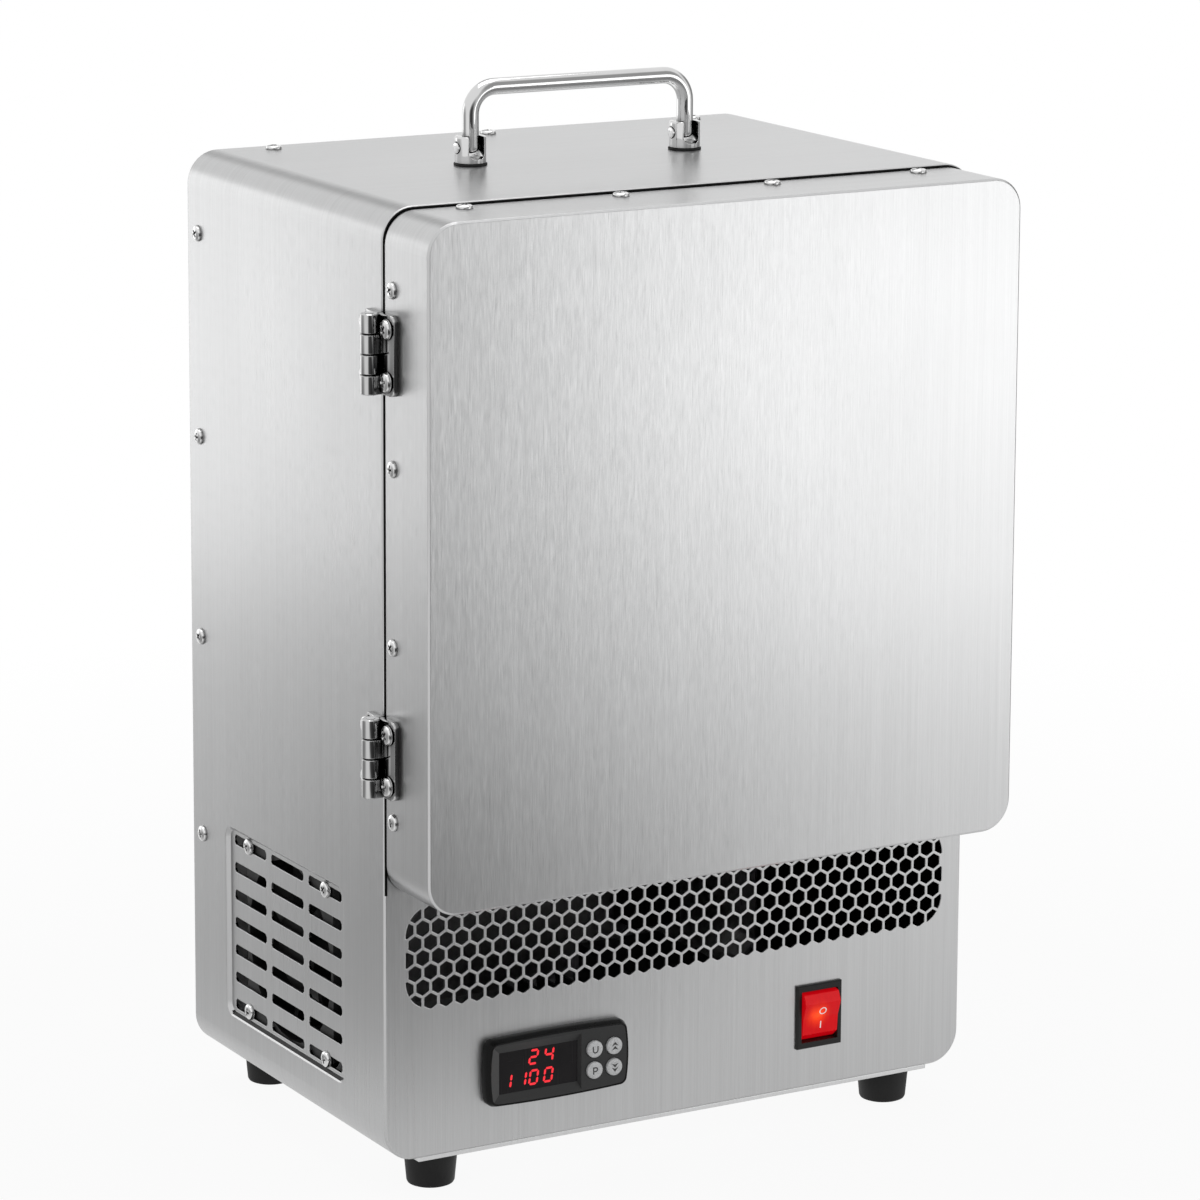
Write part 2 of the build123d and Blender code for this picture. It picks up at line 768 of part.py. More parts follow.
save(fan_rotor, "fan_rotor")

# ---- temperature controller in the front ----
bezel_width = 76.0
bezel_height = 34.5
bezel_bulge = 0.9           # how far each edge bows outwards
bezel_corner = 3.0
bezel_rim = 3.0
bezel_slope = 3.6
bezel_taper = 1.1           # the front is this much smaller on each side
window_x = controller_x - 10.6
window_z = controller_z - 0.6
window_width = 42.6
window_height = 20.4
window_recess = 2.4
window_thickness = 1.0
frame_slope = 3.4           # width of the sloping frame round the window
case_width = 70.6
case_height = 28.6
case_depth = 58.0
clamp_width = 77.0
clamp_height = 35.0
clamp_depth = 7.0
key_x = controller_x + 23.8
key_z = controller_z - 1.0
key_pitch_x = 10.5
key_pitch_z = 10.3
key_radius = 4.1
key_play = 0.2
key_proud = 1.0
key_length = 3.4
key_bevel = 0.4
bezel_front = front - bezel_rim - bezel_slope
key_floor = bezel_front + key_length - key_proud + 0.8


def bowed_outline(width, height, bulge, corner):
    """A rectangle with rounded corners whose four edges bow outwards."""
    half_w = width / 2 - bulge
    half_h = height / 2 - bulge
    with BuildSketch() as outline:
        with BuildLine():
            ThreePointArc((-half_w, -half_h), (0, -half_h - bulge), (half_w, -half_h))
            ThreePointArc((half_w, -half_h), (half_w + bulge, 0), (half_w, half_h))
            ThreePointArc((half_w, half_h), (0, half_h + bulge), (-half_w, half_h))
            ThreePointArc((-half_w, half_h), (-half_w - bulge, 0), (-half_w, -half_h))
        make_face()
        fillet(outline.vertices(), corner)
    return outline.sketch


controller_plane = Plane(
    origin=(controller_x, front, controller_z), x_dir=(1, 0, 0), z_dir=(0, -1, 0)
)

with BuildPart() as controller_bezel:
    with BuildSketch(controller_plane):
        add(bowed_outline(bezel_width, bezel_height, bezel_bulge, bezel_corner))
    extrude(amount=bezel_rim + bezel_slope)
    bezel_face = controller_bezel.faces().sort_by(Axis.Y)[0]
    chamfer(bezel_face.edges(), length=bezel_taper, length2=bezel_slope, reference=bezel_face)
    # sloping frame down to the display window
    window_plane = Plane.XZ.offset(-bezel_front)
    with BuildSketch(window_plane):
        with Locations((window_x, window_z)):
            Rectangle(window_width + 2 * frame_slope, window_height + 2 * frame_slope)
    with BuildSketch(window_plane.offset(-window_recess)):
        with Locations((window_x, window_z)):
            Rectangle(window_width, window_height)
    loft(ruled=True, mode=Mode.SUBTRACT)
    with BuildSketch(window_plane.offset(-window_recess)):
        with Locations((window_x, window_z)):
            Rectangle(window_width, window_height)
    extrude(amount=-window_thickness, mode=Mode.SUBTRACT)
    # wells of the four keys
    with BuildSketch(window_plane):
        with Locations((key_x, key_z)):
            with GridLocations(key_pitch_x, key_pitch_z, 2, 2):
                RegularPolygon(key_radius + key_play, barrel_sides)
    extrude(amount=-(key_floor - bezel_front), mode=Mode.SUBTRACT)
save(controller_bezel, "controller_bezel")

with BuildPart() as controller_window:
    with BuildSketch(Plane.XZ.offset(-bezel_front - window_recess)):
        with Locations((window_x, window_z)):
            Rectangle(window_width, window_height)
    extrude(amount=-window_thickness)
save(controller_window, "controller_window")

for name, step_x, step_z in (
    ("key_function", -1, 1),
    ("key_up", 1, 1),
    ("key_program", -1, -1),
    ("key_down", 1, -1),
):
    with BuildPart() as key:
        with BuildSketch(Plane.XZ.offset(-bezel_front + key_proud)):
            with Locations((key_x + step_x * key_pitch_x / 2, key_z + step_z * key_pitch_z / 2)):
                RegularPolygon(key_radius, barrel_sides)
        extrude(amount=-key_length)
        chamfer(key.faces().sort_by(Axis.Y)[0].edges(), length=key_bevel)
    save(key, name)

with BuildPart() as controller_case:
    with BuildSketch(front_plane):
        with Locations((controller_x, controller_z)):
            Rectangle(case_width, case_height)
    extrude(amount=-case_depth)
save(controller_case, "controller_case")

with BuildPart() as controller_clamp:
    with BuildSketch(Plane.XZ.offset(-inner_front)):
        with Locations((controller_x, controller_z)):
            Rectangle(clamp_width, clamp_height)
            Rectangle(case_width, case_height, mode=Mode.SUBTRACT)
    extrude(amount=-clamp_depth)
save(controller_clamp, "controller_clamp")

# ---- lit rocker switch ----
switch_width = 25.0
switch_height = 31.5
switch_proud = 1.8
switch_body_depth = 24.0
switch_opening_width = 20.4
switch_opening_height = 25.4
switch_well = 9.0
rocker_width = 19.6
rocker_half = 12.0
rocker_ridge = 8.0          # ridges above and below the middle
rocker_ridge_rise = 4.6
rocker_edge_rise = 1.6
rocker_valley_rise = 3.6
rocker_skirt = 3.2
rocker_tilt = 12.0
rocker_pin_radius = 1.0
rocker_pin_length = 0.8
rocker_pin_fit = 0.05
terminal_width = 6.3
terminal_thickness = 0.8
terminal_length = 8.0
rocker_pivot_y = front + 1.0

with BuildPart() as switch_body:
    with BuildSketch(front_plane):
        with Locations((rocker_x, rocker_z)):
            Rectangle(switch_width, switch_height)
    extrude(amount=switch_proud)
    chamfer(switch_body.faces().sort_by(Axis.Y)[0].edges(), length=0.5)
    with BuildSketch(front_plane):
        with Locations((rocker_x, rocker_z)):
            Rectangle(rocker_cut_width - 0.2, rocker_cut_height - 0.2)
    extrude(amount=-switch_body_depth)
    with BuildSketch(front_plane.offset(switch_proud)):
        with Locations((rocker_x, rocker_z)):
            Rectangle(switch_opening_width, switch_opening_height)
    extrude(amount=-(switch_proud + switch_well), mode=Mode.SUBTRACT)
    with BuildSketch(Plane.YZ.offset(rocker_x)):
        with Locations((rocker_pivot_y, rocker_z)):
            RegularPolygon(rocker_pin_radius + rocker_pin_fit, pin_sides, major_radius=False)
    extrude(
        amount=rocker_width / 2 + rocker_pin_length + 0.1, both=True, mode=Mode.SUBTRACT
    )
    with BuildSketch(Plane.XZ.offset(-(front + switch_body_depth))):
        with Locations((rocker_x, rocker_z)):
            with GridLocations(10, 8, 2, 3):
                Rectangle(terminal_width, terminal_thickness)
    extrude(amount=-terminal_length)
save(switch_body, "switch_body")

tilt = math.radians(rocker_tilt)
rocker_plane = Plane(
    origin=(rocker_x - rocker_width / 2, rocker_pivot_y, rocker_z),
    x_dir=(0, math.cos(tilt), math.sin(tilt)),
    z_dir=(1, 0, 0),
)

with BuildPart() as rocker_button:
    # side profile about the pivot, tilted as when its lower half is pressed in
    with BuildSketch(rocker_plane):
        with BuildLine():
            Polyline(
                (rocker_skirt, -rocker_half),
                (-rocker_edge_rise, -rocker_half),
                (-rocker_ridge_rise, -rocker_ridge),
                (-rocker_valley_rise, 0),
                (-rocker_ridge_rise, rocker_ridge),
                (-rocker_edge_rise, rocker_half),
                (rocker_skirt, rocker_half),
                close=True,
            )
        make_face()
    extrude(amount=rocker_width)
    with BuildSketch(Plane.YZ.offset(rocker_x)):
        with Locations((rocker_pivot_y, rocker_z)):
            RegularPolygon(rocker_pin_radius, pin_sides)
    extrude(amount=rocker_width / 2 + rocker_pin_length, both=True)
save(rocker_button, "rocker_button")

# ---- swing latch on the right side: an arm that hooks a stud on the door ----
latch_z = door_mid
latch_y = front + 22.0
stud_y = door_back - 12.0
stud_radius = 3.0
stud_length = 6.2
stud_head_radius = 4.6
stud_head_thickness = 1.4
latch_plate = 3.0
latch_clearance = 0.4
latch_arm_half = 7.0
latch_end = 9.0             # arm beyond the bolt and beyond the notch
latch_corner = 3.0
latch_notch_half = 4.0
latch_notch_shift = 0.5     # notch lies nearer the bolt, as the stud enters on an arc
latch_tab_width = 12.0
latch_tab_reach = 11.0
latch_bolt_radius = 3.0
latch_bolt_fit = 0.05
latch_bolt_head = 6.0
latch_bolt_head_thickness = 2.6
latch_reach = latch_y - stud_y
latch_inner_x = half_width + latch_clearance
latch_outer_x = latch_inner_x + latch_plate
latch_low = latch_z - latch_reach - latch_end

with BuildPart() as latch_bolt:
    with BuildSketch(Plane.YZ.offset(half_width)):
        with Locations((latch_y, latch_z)):
            RegularPolygon(latch_bolt_radius, pin_sides)
    extrude(amount=2 * latch_clearance + latch_plate)
    with BuildSketch(Plane.YZ.offset(latch_outer_x + latch_clearance)):
        with Locations((latch_y, latch_z)):
            RegularPolygon(latch_bolt_head, 6)
    extrude(amount=latch_bolt_head_thickness)
save(latch_bolt, "latch_bolt")

with BuildPart() as latch_arm:
    # the arm hangs down when released; its notch faces the front
    with BuildSketch(Plane.YZ.offset(latch_inner_x)) as arm_outline:
        with Locations((latch_y, (latch_z + latch_end + latch_low) / 2)):
            Rectangle(2 * latch_arm_half, latch_z + latch_end - latch_low)
        chamfer(arm_outline.vertices(), latch_corner)
        with Locations((latch_y, latch_z)):
            RegularPolygon(
                latch_bolt_radius + latch_bolt_fit,
                pin_sides,
                major_radius=False,
                mode=Mode.SUBTRACT,
            )
        with Locations((latch_y - latch_arm_half, latch_z - latch_reach + latch_notch_shift)):
            Rectangle(
                2 * (latch_arm_half + latch_notch_half),
                2 * latch_notch_half,
                mode=Mode.SUBTRACT,
            )
    extrude(amount=latch_plate)
    # tab for the finger, bent outwards along the rear edge
    with BuildSketch(Plane.XY.offset(latch_z - latch_reach / 2 - latch_tab_width / 2)):
        with Locations((latch_outer_x + latch_tab_reach / 2, latch_y)):
            Rectangle(latch_tab_reach, latch_plate)
    extrude(amount=latch_tab_width)
save(latch_arm, "latch_arm")

with BuildPart() as latch_stud:
    with BuildSketch(Plane.YZ.offset(door_half_width)):
        with Locations((stud_y, latch_z)):
            RegularPolygon(stud_radius, pin_sides)
    extrude(amount=stud_length)
    with BuildSketch(Plane.YZ.offset(door_half_width + stud_length)):
        with Locations((stud_y, latch_z)):
            RegularPolygon(stud_head_radius, pin_sides)
    extrude(amount=stud_head_thickness)
save(latch_stud, "latch_stud")

# ---- bent finger pull on the door's right side ----
pull_z = door_mid - 95.0
pull_length = 70.0
pull_sheet = 1.5
pull_base = 14.0
pull_lip = 8.0
pull_front = door_front + 4.0
pull_bend = 2.0

with BuildPart() as door_pull:
    with BuildSketch(Plane.XY.offset(pull_z - pull_length / 2)) as pull_profile:
        with BuildLine():
            Polyline(
                (door_half_width, pull_front),
                (door_half_width, pull_front + pull_base),
                (door_half_width + pull_lip, pull_front + pull_base),
                (door_half_width + pull_lip, pull_front + pull_base - pull_sheet),
                (door_half_width + pull_sheet, pull_front + pull_base - pull_sheet),
                (door_half_width + pull_sheet, pull_front),
                close=True,
            )
        make_face()
        inner_corner = pull_profile.vertices().sort_by_distance(
            (door_half_width + pull_sheet, pull_front + pull_base - pull_sheet)
        )[0]
        fillet(inner_corner, pull_bend)
    extrude(amount=pull_length)
    with BuildSketch(Plane.YZ.offset(door_half_width)):
        with Locations((pull_front, pull_z - pull_length / 2), (pull_front, pull_z + pull_length / 2)):
            Rectangle(8, 8, rotation=45)
    extrude(amount=pull_sheet, mode=Mode.SUBTRACT)
save(door_pull, "door_pull")

# ---- mains inlet in the back panel ----
inlet_flange_width = 50.0
inlet_flange_height = 25.0
inlet_flange_corner = 7.0
inlet_flange_thickness = 3.0
inlet_depth = 22.0
inlet_well_width = 24.0
inlet_well_height = 16.6
inlet_well_cut = 4.0
inlet_well_depth = 17.0
pin_pitch = 7.0
pin_drop = 2.0
pin_width = 2.0
pin_height = 4.0
pin_length = 14.0

with BuildPart() as power_inlet:
    with BuildSketch(back_plane) as inlet_flange:
        with Locations((inlet_x, inlet_z)):
            Rectangle(inlet_flange_width, inlet_flange_height)
        chamfer(inlet_flange.vertices(), inlet_flange_corner)
    extrude(amount=-inlet_flange_thickness)
    with BuildSketch(back_plane):
        with Locations((inlet_x, inlet_z)):
            Rectangle(inlet_cut_width - 0.4, inlet_cut_height - 0.4)
    extrude(amount=inlet_depth)
    with BuildSketch(Plane.XZ.offset(-back_face - inlet_flange_thickness)) as well:
        with Locations((inlet_x, inlet_z)):
            Rectangle(inlet_well_width, inlet_well_height)
        chamfer(well.vertices().group_by(Axis.Y)[-1], inlet_well_cut)
    extrude(amount=inlet_well_depth, mode=Mode.SUBTRACT)
    # three contact blades at the bottom of the well
    with BuildSketch(Plane.XZ.offset(-back_face - inlet_flange_thickness + inlet_well_depth)):
        with Locations((inlet_x, inlet_z - pin_drop)):
            with GridLocations(2 * pin_pitch, 1, 2, 1):
                Rectangle(pin_width, pin_height)
        with Locations((inlet_x, inlet_z + pin_drop)):
            Rectangle(pin_width, pin_height)
    extrude(amount=-pin_length)
save(power_inlet, "power_inlet")

# ---- solid-state relay on its finned heat sink, and the terminal strip ----
sink_x = 35.0
sink_y = -10.0
sink_width = 60.0
sink_length = 80.0
sink_base = 5.0
sink_height = 24.0
sink_fins = 8
fin_thickness = 1.6
relay_width = 45.0
relay_length = 58.0
relay_height = 24.0
relay_notch = 5.0           # open slots for its two screws
strip_x = 30.0
strip_y = 62.0
strip_width = 66.0
strip_length = 22.0
strip_height = 16.0
strip_ways = 6
strip_wall = 1.6
strip_step = 9.0

with BuildPart() as relay_heat_sink:
    with BuildSketch(Plane.XY.offset(casing_bottom)):
        with Locations((sink_x, sink_y)):
            with GridLocations((sink_width - fin_thickness) / (sink_fins - 1), 1, sink_fins, 1):
                Rectangle(fin_thickness, sink_length)
    extrude(amount=sink_height)
    with BuildSketch(Plane.XY.offset(casing_bottom + sink_height - sink_base)):
        with Locations((sink_x, sink_y)):
            Rectangle(sink_width, sink_length)
    extrude(amount=sink_base)
save(relay_heat_sink, "relay_heat_sink")

with BuildPart() as relay:
    with BuildSketch(Plane.XY.offset(casing_bottom + sink_height)):
        with Locations((sink_x, sink_y)):
            Rectangle(relay_width, relay_length)
            with GridLocations(1, relay_length, 1, 2):
                Rectangle(relay_notch, 2 * relay_notch, mode=Mode.SUBTRACT)
    extrude(amount=relay_height)
save(relay, "relay")

with BuildPart() as terminal_strip:
    with BuildSketch(Plane.XY.offset(casing_bottom)):
        with Locations((strip_x, strip_y)):
            Rectangle(strip_width, strip_length)
    extrude(amount=strip_height - strip_step)
    with BuildSketch(Plane.XY.offset(casing_bottom + strip_height - strip_step)):
        with Locations((strip_x, strip_y)):
            with GridLocations((strip_width - strip_wall) / strip_ways, 1, strip_ways + 1, 1):
                Rectangle(strip_wall, strip_length)
    extrude(amount=strip_step)
save(terminal_strip, "terminal_strip")

# ---- the frame: its origin is on the table, under the middle of the whole object ----
boxes = [piece.bounding_box() for piece in pieces]
middle_x = (min(box.min.X for box in boxes) + max(box.max.X for box in boxes)) / 2
middle_y = (min(box.min.Y for box in boxes) + max(box.max.Y for box in boxes)) / 2
for piece in pieces:
    placed = piece.moved(Location((-middle_x, -middle_y, 0)))
    placed.label = piece.label
    export_step(placed, f"parts/{piece.label}.step")
print(f"{len(pieces)} pieces, casing's middle at x {-middle_x:.4f}, y {-middle_y:.4f}")
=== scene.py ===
# %% [markdown]
# # A tabletop jewellery kiln in brushed steel
# The engineering model of this small kiln gives every part its place, so
# the lesson loads it first and then adds what a drawing leaves out:
# finishes, screws, marks, the glow of the display, and light.

# %% Load the frame
from math import atan2, copysign, cos, hypot, pi, radians, sin

import bmesh
import bpy
from mathutils import Matrix, Vector


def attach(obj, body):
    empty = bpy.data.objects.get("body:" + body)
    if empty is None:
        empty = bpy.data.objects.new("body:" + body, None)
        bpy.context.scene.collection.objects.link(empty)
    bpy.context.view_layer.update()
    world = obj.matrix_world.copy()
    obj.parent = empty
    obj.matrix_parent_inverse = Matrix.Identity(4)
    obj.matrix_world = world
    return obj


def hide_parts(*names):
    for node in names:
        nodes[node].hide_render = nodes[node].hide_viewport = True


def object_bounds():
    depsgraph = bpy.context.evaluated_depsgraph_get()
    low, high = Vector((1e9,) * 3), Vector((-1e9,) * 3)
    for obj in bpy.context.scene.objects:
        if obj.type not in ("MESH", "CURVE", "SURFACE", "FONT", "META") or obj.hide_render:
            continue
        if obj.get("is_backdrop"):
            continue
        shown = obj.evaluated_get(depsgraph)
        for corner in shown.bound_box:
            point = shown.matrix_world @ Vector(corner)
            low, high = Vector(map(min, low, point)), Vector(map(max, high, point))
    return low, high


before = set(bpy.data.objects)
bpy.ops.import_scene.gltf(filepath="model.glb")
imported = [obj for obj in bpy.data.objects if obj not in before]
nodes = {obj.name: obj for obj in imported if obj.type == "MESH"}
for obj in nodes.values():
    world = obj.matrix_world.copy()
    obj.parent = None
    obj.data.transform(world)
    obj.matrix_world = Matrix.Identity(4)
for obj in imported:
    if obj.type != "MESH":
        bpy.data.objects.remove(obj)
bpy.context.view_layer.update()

# %% [markdown]
# ## Measures
# The cabinet is drawn in millimetres from its own middle. The scene's origin
# lies under the middle of the whole object, door and hinges included, so one
# helper turns a drawing measure into a place in the scene.

# %% Measures of the cabinet
casing_middle = Vector((-1.675, 20.5, 0.0))
half_width, front = 157.5, -102.0
casing_bottom, casing_top = 18.5, 463.0
door_half_width, door_front = 156.8, -144.5
door_bottom, door_top = 146.3, 461.5
door_mid = (door_bottom + door_top) / 2


def at(x, y, z):
    """A place on the drawing, in metres in the scene."""
    return (Vector((x, y, z)) + casing_middle) / 1000


def add_object(name, data):
    """An object that shows some data, linked to the scene."""
    made = bpy.data.objects.new(name, data)
    bpy.context.scene.collection.objects.link(made)
    return made


drawing = Matrix.Scale(0.001, 4) @ Matrix.Translation(casing_middle)
print("door's middle at", tuple(round(v, 4) for v in at(0, door_front, door_mid)))

# %% [markdown]
# ## Camera
# The camera stands at the front left, a little above the door. Its long lens
# keeps upright edges nearly parallel, as product pictures have them.

# %% Camera
lens = bpy.data.cameras.new("camera")
lens.sensor_width, lens.lens, lens.clip_end = 36.0, 150.36, 50.0
lens.shift_x, lens.shift_y = -0.05994, -0.21675
turned, dipped, rolled = -0.5315216, 0.1770610, 0.0072387
camera = add_object("camera", lens)
camera.matrix_world = (
    Matrix.Translation(at(-1161.19, -2063.80, 798.21))
    @ Matrix.Rotation(turned, 4, "Z")
    @ Matrix.Rotation(pi / 2 - dipped, 4, "X")
    @ Matrix.Rotation(rolled, 4, "Z")
)
bpy.context.scene.camera = camera
print("camera", round((camera.location - at(0, 0, 240)).length, 3), "m from the kiln")

# %% [markdown]
# ## Helpers for shader trees
# Every finish is a small tree of nodes. These helpers add a node and give
# its inputs their values. A value is a number, a colour or a vector, or the
# output of another node, which is then linked.

# %% Shader helpers
def work_on(tree):
    """Choose the tree that the helpers add to."""
    global canvas
    canvas = tree
    return tree


def add(kind, **settings):
    """Add one node and set its properties."""
    made = canvas.nodes.new(kind)
    for name, value in settings.items():
        setattr(made, name, value)
    return made


def fill(sockets, values):
    """Give sockets their values in order; None leaves one as it is."""
    for socket, value in zip(sockets, values):
        if isinstance(value, bpy.types.NodeSocket):
            canvas.links.new(value, socket)
        elif value is not None:
            socket.default_value = value


def feed(node, **values):
    """Give a node's inputs their values by name, with _ for a space."""
    fill([node.inputs[name.replace("_", " ")] for name in values], values.values())
    return node


def maths(operation, first, second=0.0, clamp=False):
    """A Math node."""
    made = add("ShaderNodeMath", operation=operation, use_clamp=clamp)
    fill(made.inputs, (first, second))
    return made.outputs[0]


def times(first, second):
    """The product of two numbers."""
    return maths("MULTIPLY", first, second)


def weigh(first, second, share):
    """The sum of two numbers, the first with a share of the whole."""
    return maths("ADD", times(first, share), times(second, 1 - share))


def vectors(operation, first, second=None):
    """A Vector Math node."""
    made = add("ShaderNodeVectorMath", operation=operation)
    fill(made.inputs, (first, second))
    single = operation in ("DOT_PRODUCT", "LENGTH", "DISTANCE")
    return made.outputs["Value" if single else "Vector"]


def stretch(vector, scale):
    """A vector multiplied axis by axis."""
    return vectors("MULTIPLY", vector, scale)


def scaled(vector, factor):
    """A vector or colour times a number."""
    made = add("ShaderNodeVectorMath", operation="SCALE")
    fill((made.inputs[0], made.inputs["Scale"]), (vector, factor))
    return made.outputs[0]


def noise(vector, scale, detail=2.0, roughness=0.5, distortion=0.0):
    """A Noise texture's value."""
    made = add("ShaderNodeTexNoise")
    feed(made, Vector=vector, Scale=scale, Detail=detail, Roughness=roughness,
         Distortion=distortion)
    return made.outputs["Fac"]


def remap(value, low, high, to_low=0.0, to_high=1.0):
    """Map a range of a value to another, clamped."""
    made = add("ShaderNodeMapRange")
    feed(made, Value=value, From_Min=low, From_Max=high, To_Min=to_low, To_Max=to_high)
    return made.outputs["Result"]


def blend(factor, first, second, word="Color"):
    """Mix two colours, or two vectors."""
    made = add("ShaderNodeMix", data_type={"Color": "RGBA", "Vector": "VECTOR"}[word])
    sockets = {s.identifier: s for s in (*made.inputs, *made.outputs)}
    ends = [sockets[name] for name in ("Factor_Float", "A_" + word, "B_" + word)]
    fill(ends, (factor, first, second))
    return sockets["Result_" + word]


def here():
    """The place on the surface, in the object's own metres."""
    return add("ShaderNodeTexCoord").outputs["Object"]


def surface(output):
    """One output of the Geometry node, such as the normal."""
    return add("ShaderNodeNewGeometry").outputs[output]


def split(vector):
    """The X, Y and Z of a vector."""
    made = add("ShaderNodeSeparateXYZ")
    fill(made.inputs, (vector,))
    return made.outputs


def grey(value, warmth=0.0):
    """A nearly neutral colour."""
    return (value * (1 + warmth), value, value * (1 - warmth), 1.0)


print("shader helpers ready")

# %% [markdown]
# ## Groups
# An effect that several finishes share is a node group: a small tree with
# named inputs and outputs that stands in a material as one node.

# %% Group helper
def start_group(name, outputs, **inputs):
    """A node group; returns it, its inputs by name, and its output node."""
    group = bpy.data.node_groups.new(name, "ShaderNodeTree")
    sorts = {1: "NodeSocketFloat", 3: "NodeSocketVector", 4: "NodeSocketColor"}
    for label, value in inputs.items():
        size = len(value) if isinstance(value, tuple) else 1
        socket = group.interface.new_socket(
            label.replace("_", " "), in_out="INPUT", socket_type=sorts[size]
        )
        socket.default_value = value
    for label in outputs.split():
        size = {"Color": 4, "Normal": 3}.get(label, 1)
        group.interface.new_socket(label, in_out="OUTPUT", socket_type=sorts[size])
    work_on(group)
    return group, add("NodeGroupInput").outputs, add("NodeGroupOutput")


def end_group(result, **values):
    """Feed a group's outputs."""
    feed(result, **values)
    print("group", canvas.name, "with", len(canvas.nodes), "nodes")


print("group helper ready")

# %% [markdown]
# ## Brushed grain
# A belt leaves fine parallel lines on stainless sheet. They run up the walls
# and on over the roof, because the sheet was brushed flat and then folded.
# Noise stretched along one axis makes such lines. They also lean the surface
# a little to each side, so a reflection smears across them: the group adds
# that lean to the normal it is given.

# %% Group: brushed grain
grain, given, result = start_group(
    "brushed_grain", "Color Roughness Height Normal", Dark=grey(0.5), Light=grey(0.6),
    Roughness_Low=0.3, Roughness_High=0.4, Lean=0.5, Normal=(0.0, 0.0, 1.0),
)
spot = here()
to_front = maths("ABSOLUTE", split(surface("True Normal"))["Y"])
fore = maths("GREATER_THAN", to_front, 0.75)
drawn = 0.006
pull = blend(fore, (drawn, 1.0, drawn), (1.0, drawn, drawn), "Vector")
along = stretch(spot, pull)
fine = noise(along, 1300.0, 4.0, 0.7)
lines = weigh(fine, noise(along, 330.0), 0.8)
slow = weigh(fine, noise(spot, 7.0), 0.5)
hair_line = noise(along, 22000.0, 1.0)
swing = times(maths("SUBTRACT", hair_line, 0.5), given["Lean"])
sideways = blend(fore, (0.0, 1.0, 0.0), (1.0, 0.0, 0.0), "Vector")
leaned = vectors("ADD", given["Normal"], scaled(sideways, swing))
end_group(
    result,
    Color=blend(remap(lines, 0.3, 0.7), given["Dark"], given["Light"]),
    Roughness=remap(slow, 0.35, 0.65, given["Roughness Low"], given["Roughness High"]),
    Height=fine,
    Normal=vectors("NORMALIZE", leaned),
)

# %% [markdown]
# ## Rounded edges and a painted edge highlight
# Each real edge is rounded by a fraction of a millimetre and catches a thin
# line of light. The Bevel node rounds the shading of an edge without changing
# the mesh. Where its normal leaves the true one, an edge is near, and that
# makes the mask, with which brushed sheet paints a highlight on its edges.

# %% Group: soft edges
edges, given, result = start_group("soft_edges", "Normal Mask", Radius=0.0006)
rounded = feed(add("ShaderNodeBevel", samples=6), Radius=given["Radius"])
rounded = rounded.outputs["Normal"]
agreement = vectors("DOT_PRODUCT", rounded, surface("Normal"))
near_edge = maths("SUBTRACT", 1.0, agreement)
end_group(result, Normal=rounded, Mask=remap(near_edge, 0.01, 0.16))

# %% [markdown]
# ## Painted shade in crevices
# Shade falls where a head meets its panel and in the cross of a screw, and it
# is painted into the colour there. The Ambient Occlusion node tells how closed
# in a place is within a set distance, which makes a mask for that painted shade.

# %% Group: crevices
painted_crevice_shade, given, result = start_group("crevices", "Mask", Distance=0.001, Open=0.8)
sky_seen = add("ShaderNodeAmbientOcclusion", samples=6)
feed(sky_seen, Distance=given["Distance"])
hollow = maths("SUBTRACT", given["Open"], sky_seen.outputs["AO"])
end_group(result, Mask=remap(hollow, 0.0, 0.5))

# %% [markdown]
# ## Moulded plastic texture
# Injection moulds for housings are spark-eroded, which leaves a fine even
# pebble. One noise makes it; a broader one varies the gloss a little, where
# hands have touched it.

# %% Group: moulded texture
pebble, given, result = start_group(
    "moulded_texture", "Color Roughness Height",
    Color=grey(0.03), Grain_Size=1800.0, Roughness_Low=0.4, Roughness_High=0.55,
)
spot = here()
grit = noise(spot, given["Grain Size"], 3.0)
touched = noise(spot, 40.0)
end_group(
    result,
    Color=scaled(given["Color"], remap(grit, 0.3, 0.7, 0.82, 1.18)),
    Roughness=remap(touched, 0.35, 0.65, given["Roughness Low"], given["Roughness High"]),
    Height=grit,
)

# %% [markdown]
# ## Hairline scratches
# Chrome and glossy plastic show faint hairlines from wiping. Two noises,
# each stretched another way and kept only at their peaks, cross like real
# hairlines do.

# %% Group: hairlines
hair, given, result = start_group(
    "hairlines", "Roughness Height", Roughness_Low=0.06, Roughness_High=0.2
)
spot = here()
upright = noise(stretch(spot, (900.0, 900.0, 40.0)), 1.0)
level = noise(stretch(spot, (60.0, 900.0, 900.0)), 1.0)
peaks = maths("MAXIMUM", remap(upright, 0.6, 0.75), remap(level, 0.62, 0.78))
smear = remap(noise(spot, 55.0), 0.4, 0.7, 0.0, 0.35)
rub = maths("ADD", times(peaks, 0.6), smear, clamp=True)
end_group(
    result, Height=peaks,
    Roughness=remap(rub, 0.0, 1.0, given["Roughness Low"], given["Roughness High"]),
)

# %% [markdown]
# ## Open-pored brick
# The chamber is lined with light firebrick, full of small round pores.
# Voronoi cells make the pores, painted darker as the shade in them; a broad
# noise makes some places denser.

# %% Group: brick pores
pores, given, result = start_group(
    "brick_pores", "Color Roughness Height", Body=grey(0.75, 0.04), Pore=grey(0.5, 0.08)
)
spot = here()
cells = feed(add("ShaderNodeTexVoronoi"), Vector=spot, Scale=620.0)
pit = remap(cells.outputs["Distance"], 0.12, 0.4)
stain = noise(spot, 30.0, 4.0, 0.6)
dense = times(pit, remap(stain, 0.3, 0.6, 0.55, 1.0))
end_group(
    result, Height=pit,
    # painted shade: the pores take the darker Pore colour
    Color=blend(dense, given["Pore"], given["Body"]),
    Roughness=remap(stain, 0.3, 0.7, 0.82, 0.98),
)

# %% [markdown]
# ## Felted fibres
# Behind the brick lies fibre board, and the door's seal is a rope of the
# same fibre. Noise stretched in two directions looks like felt.

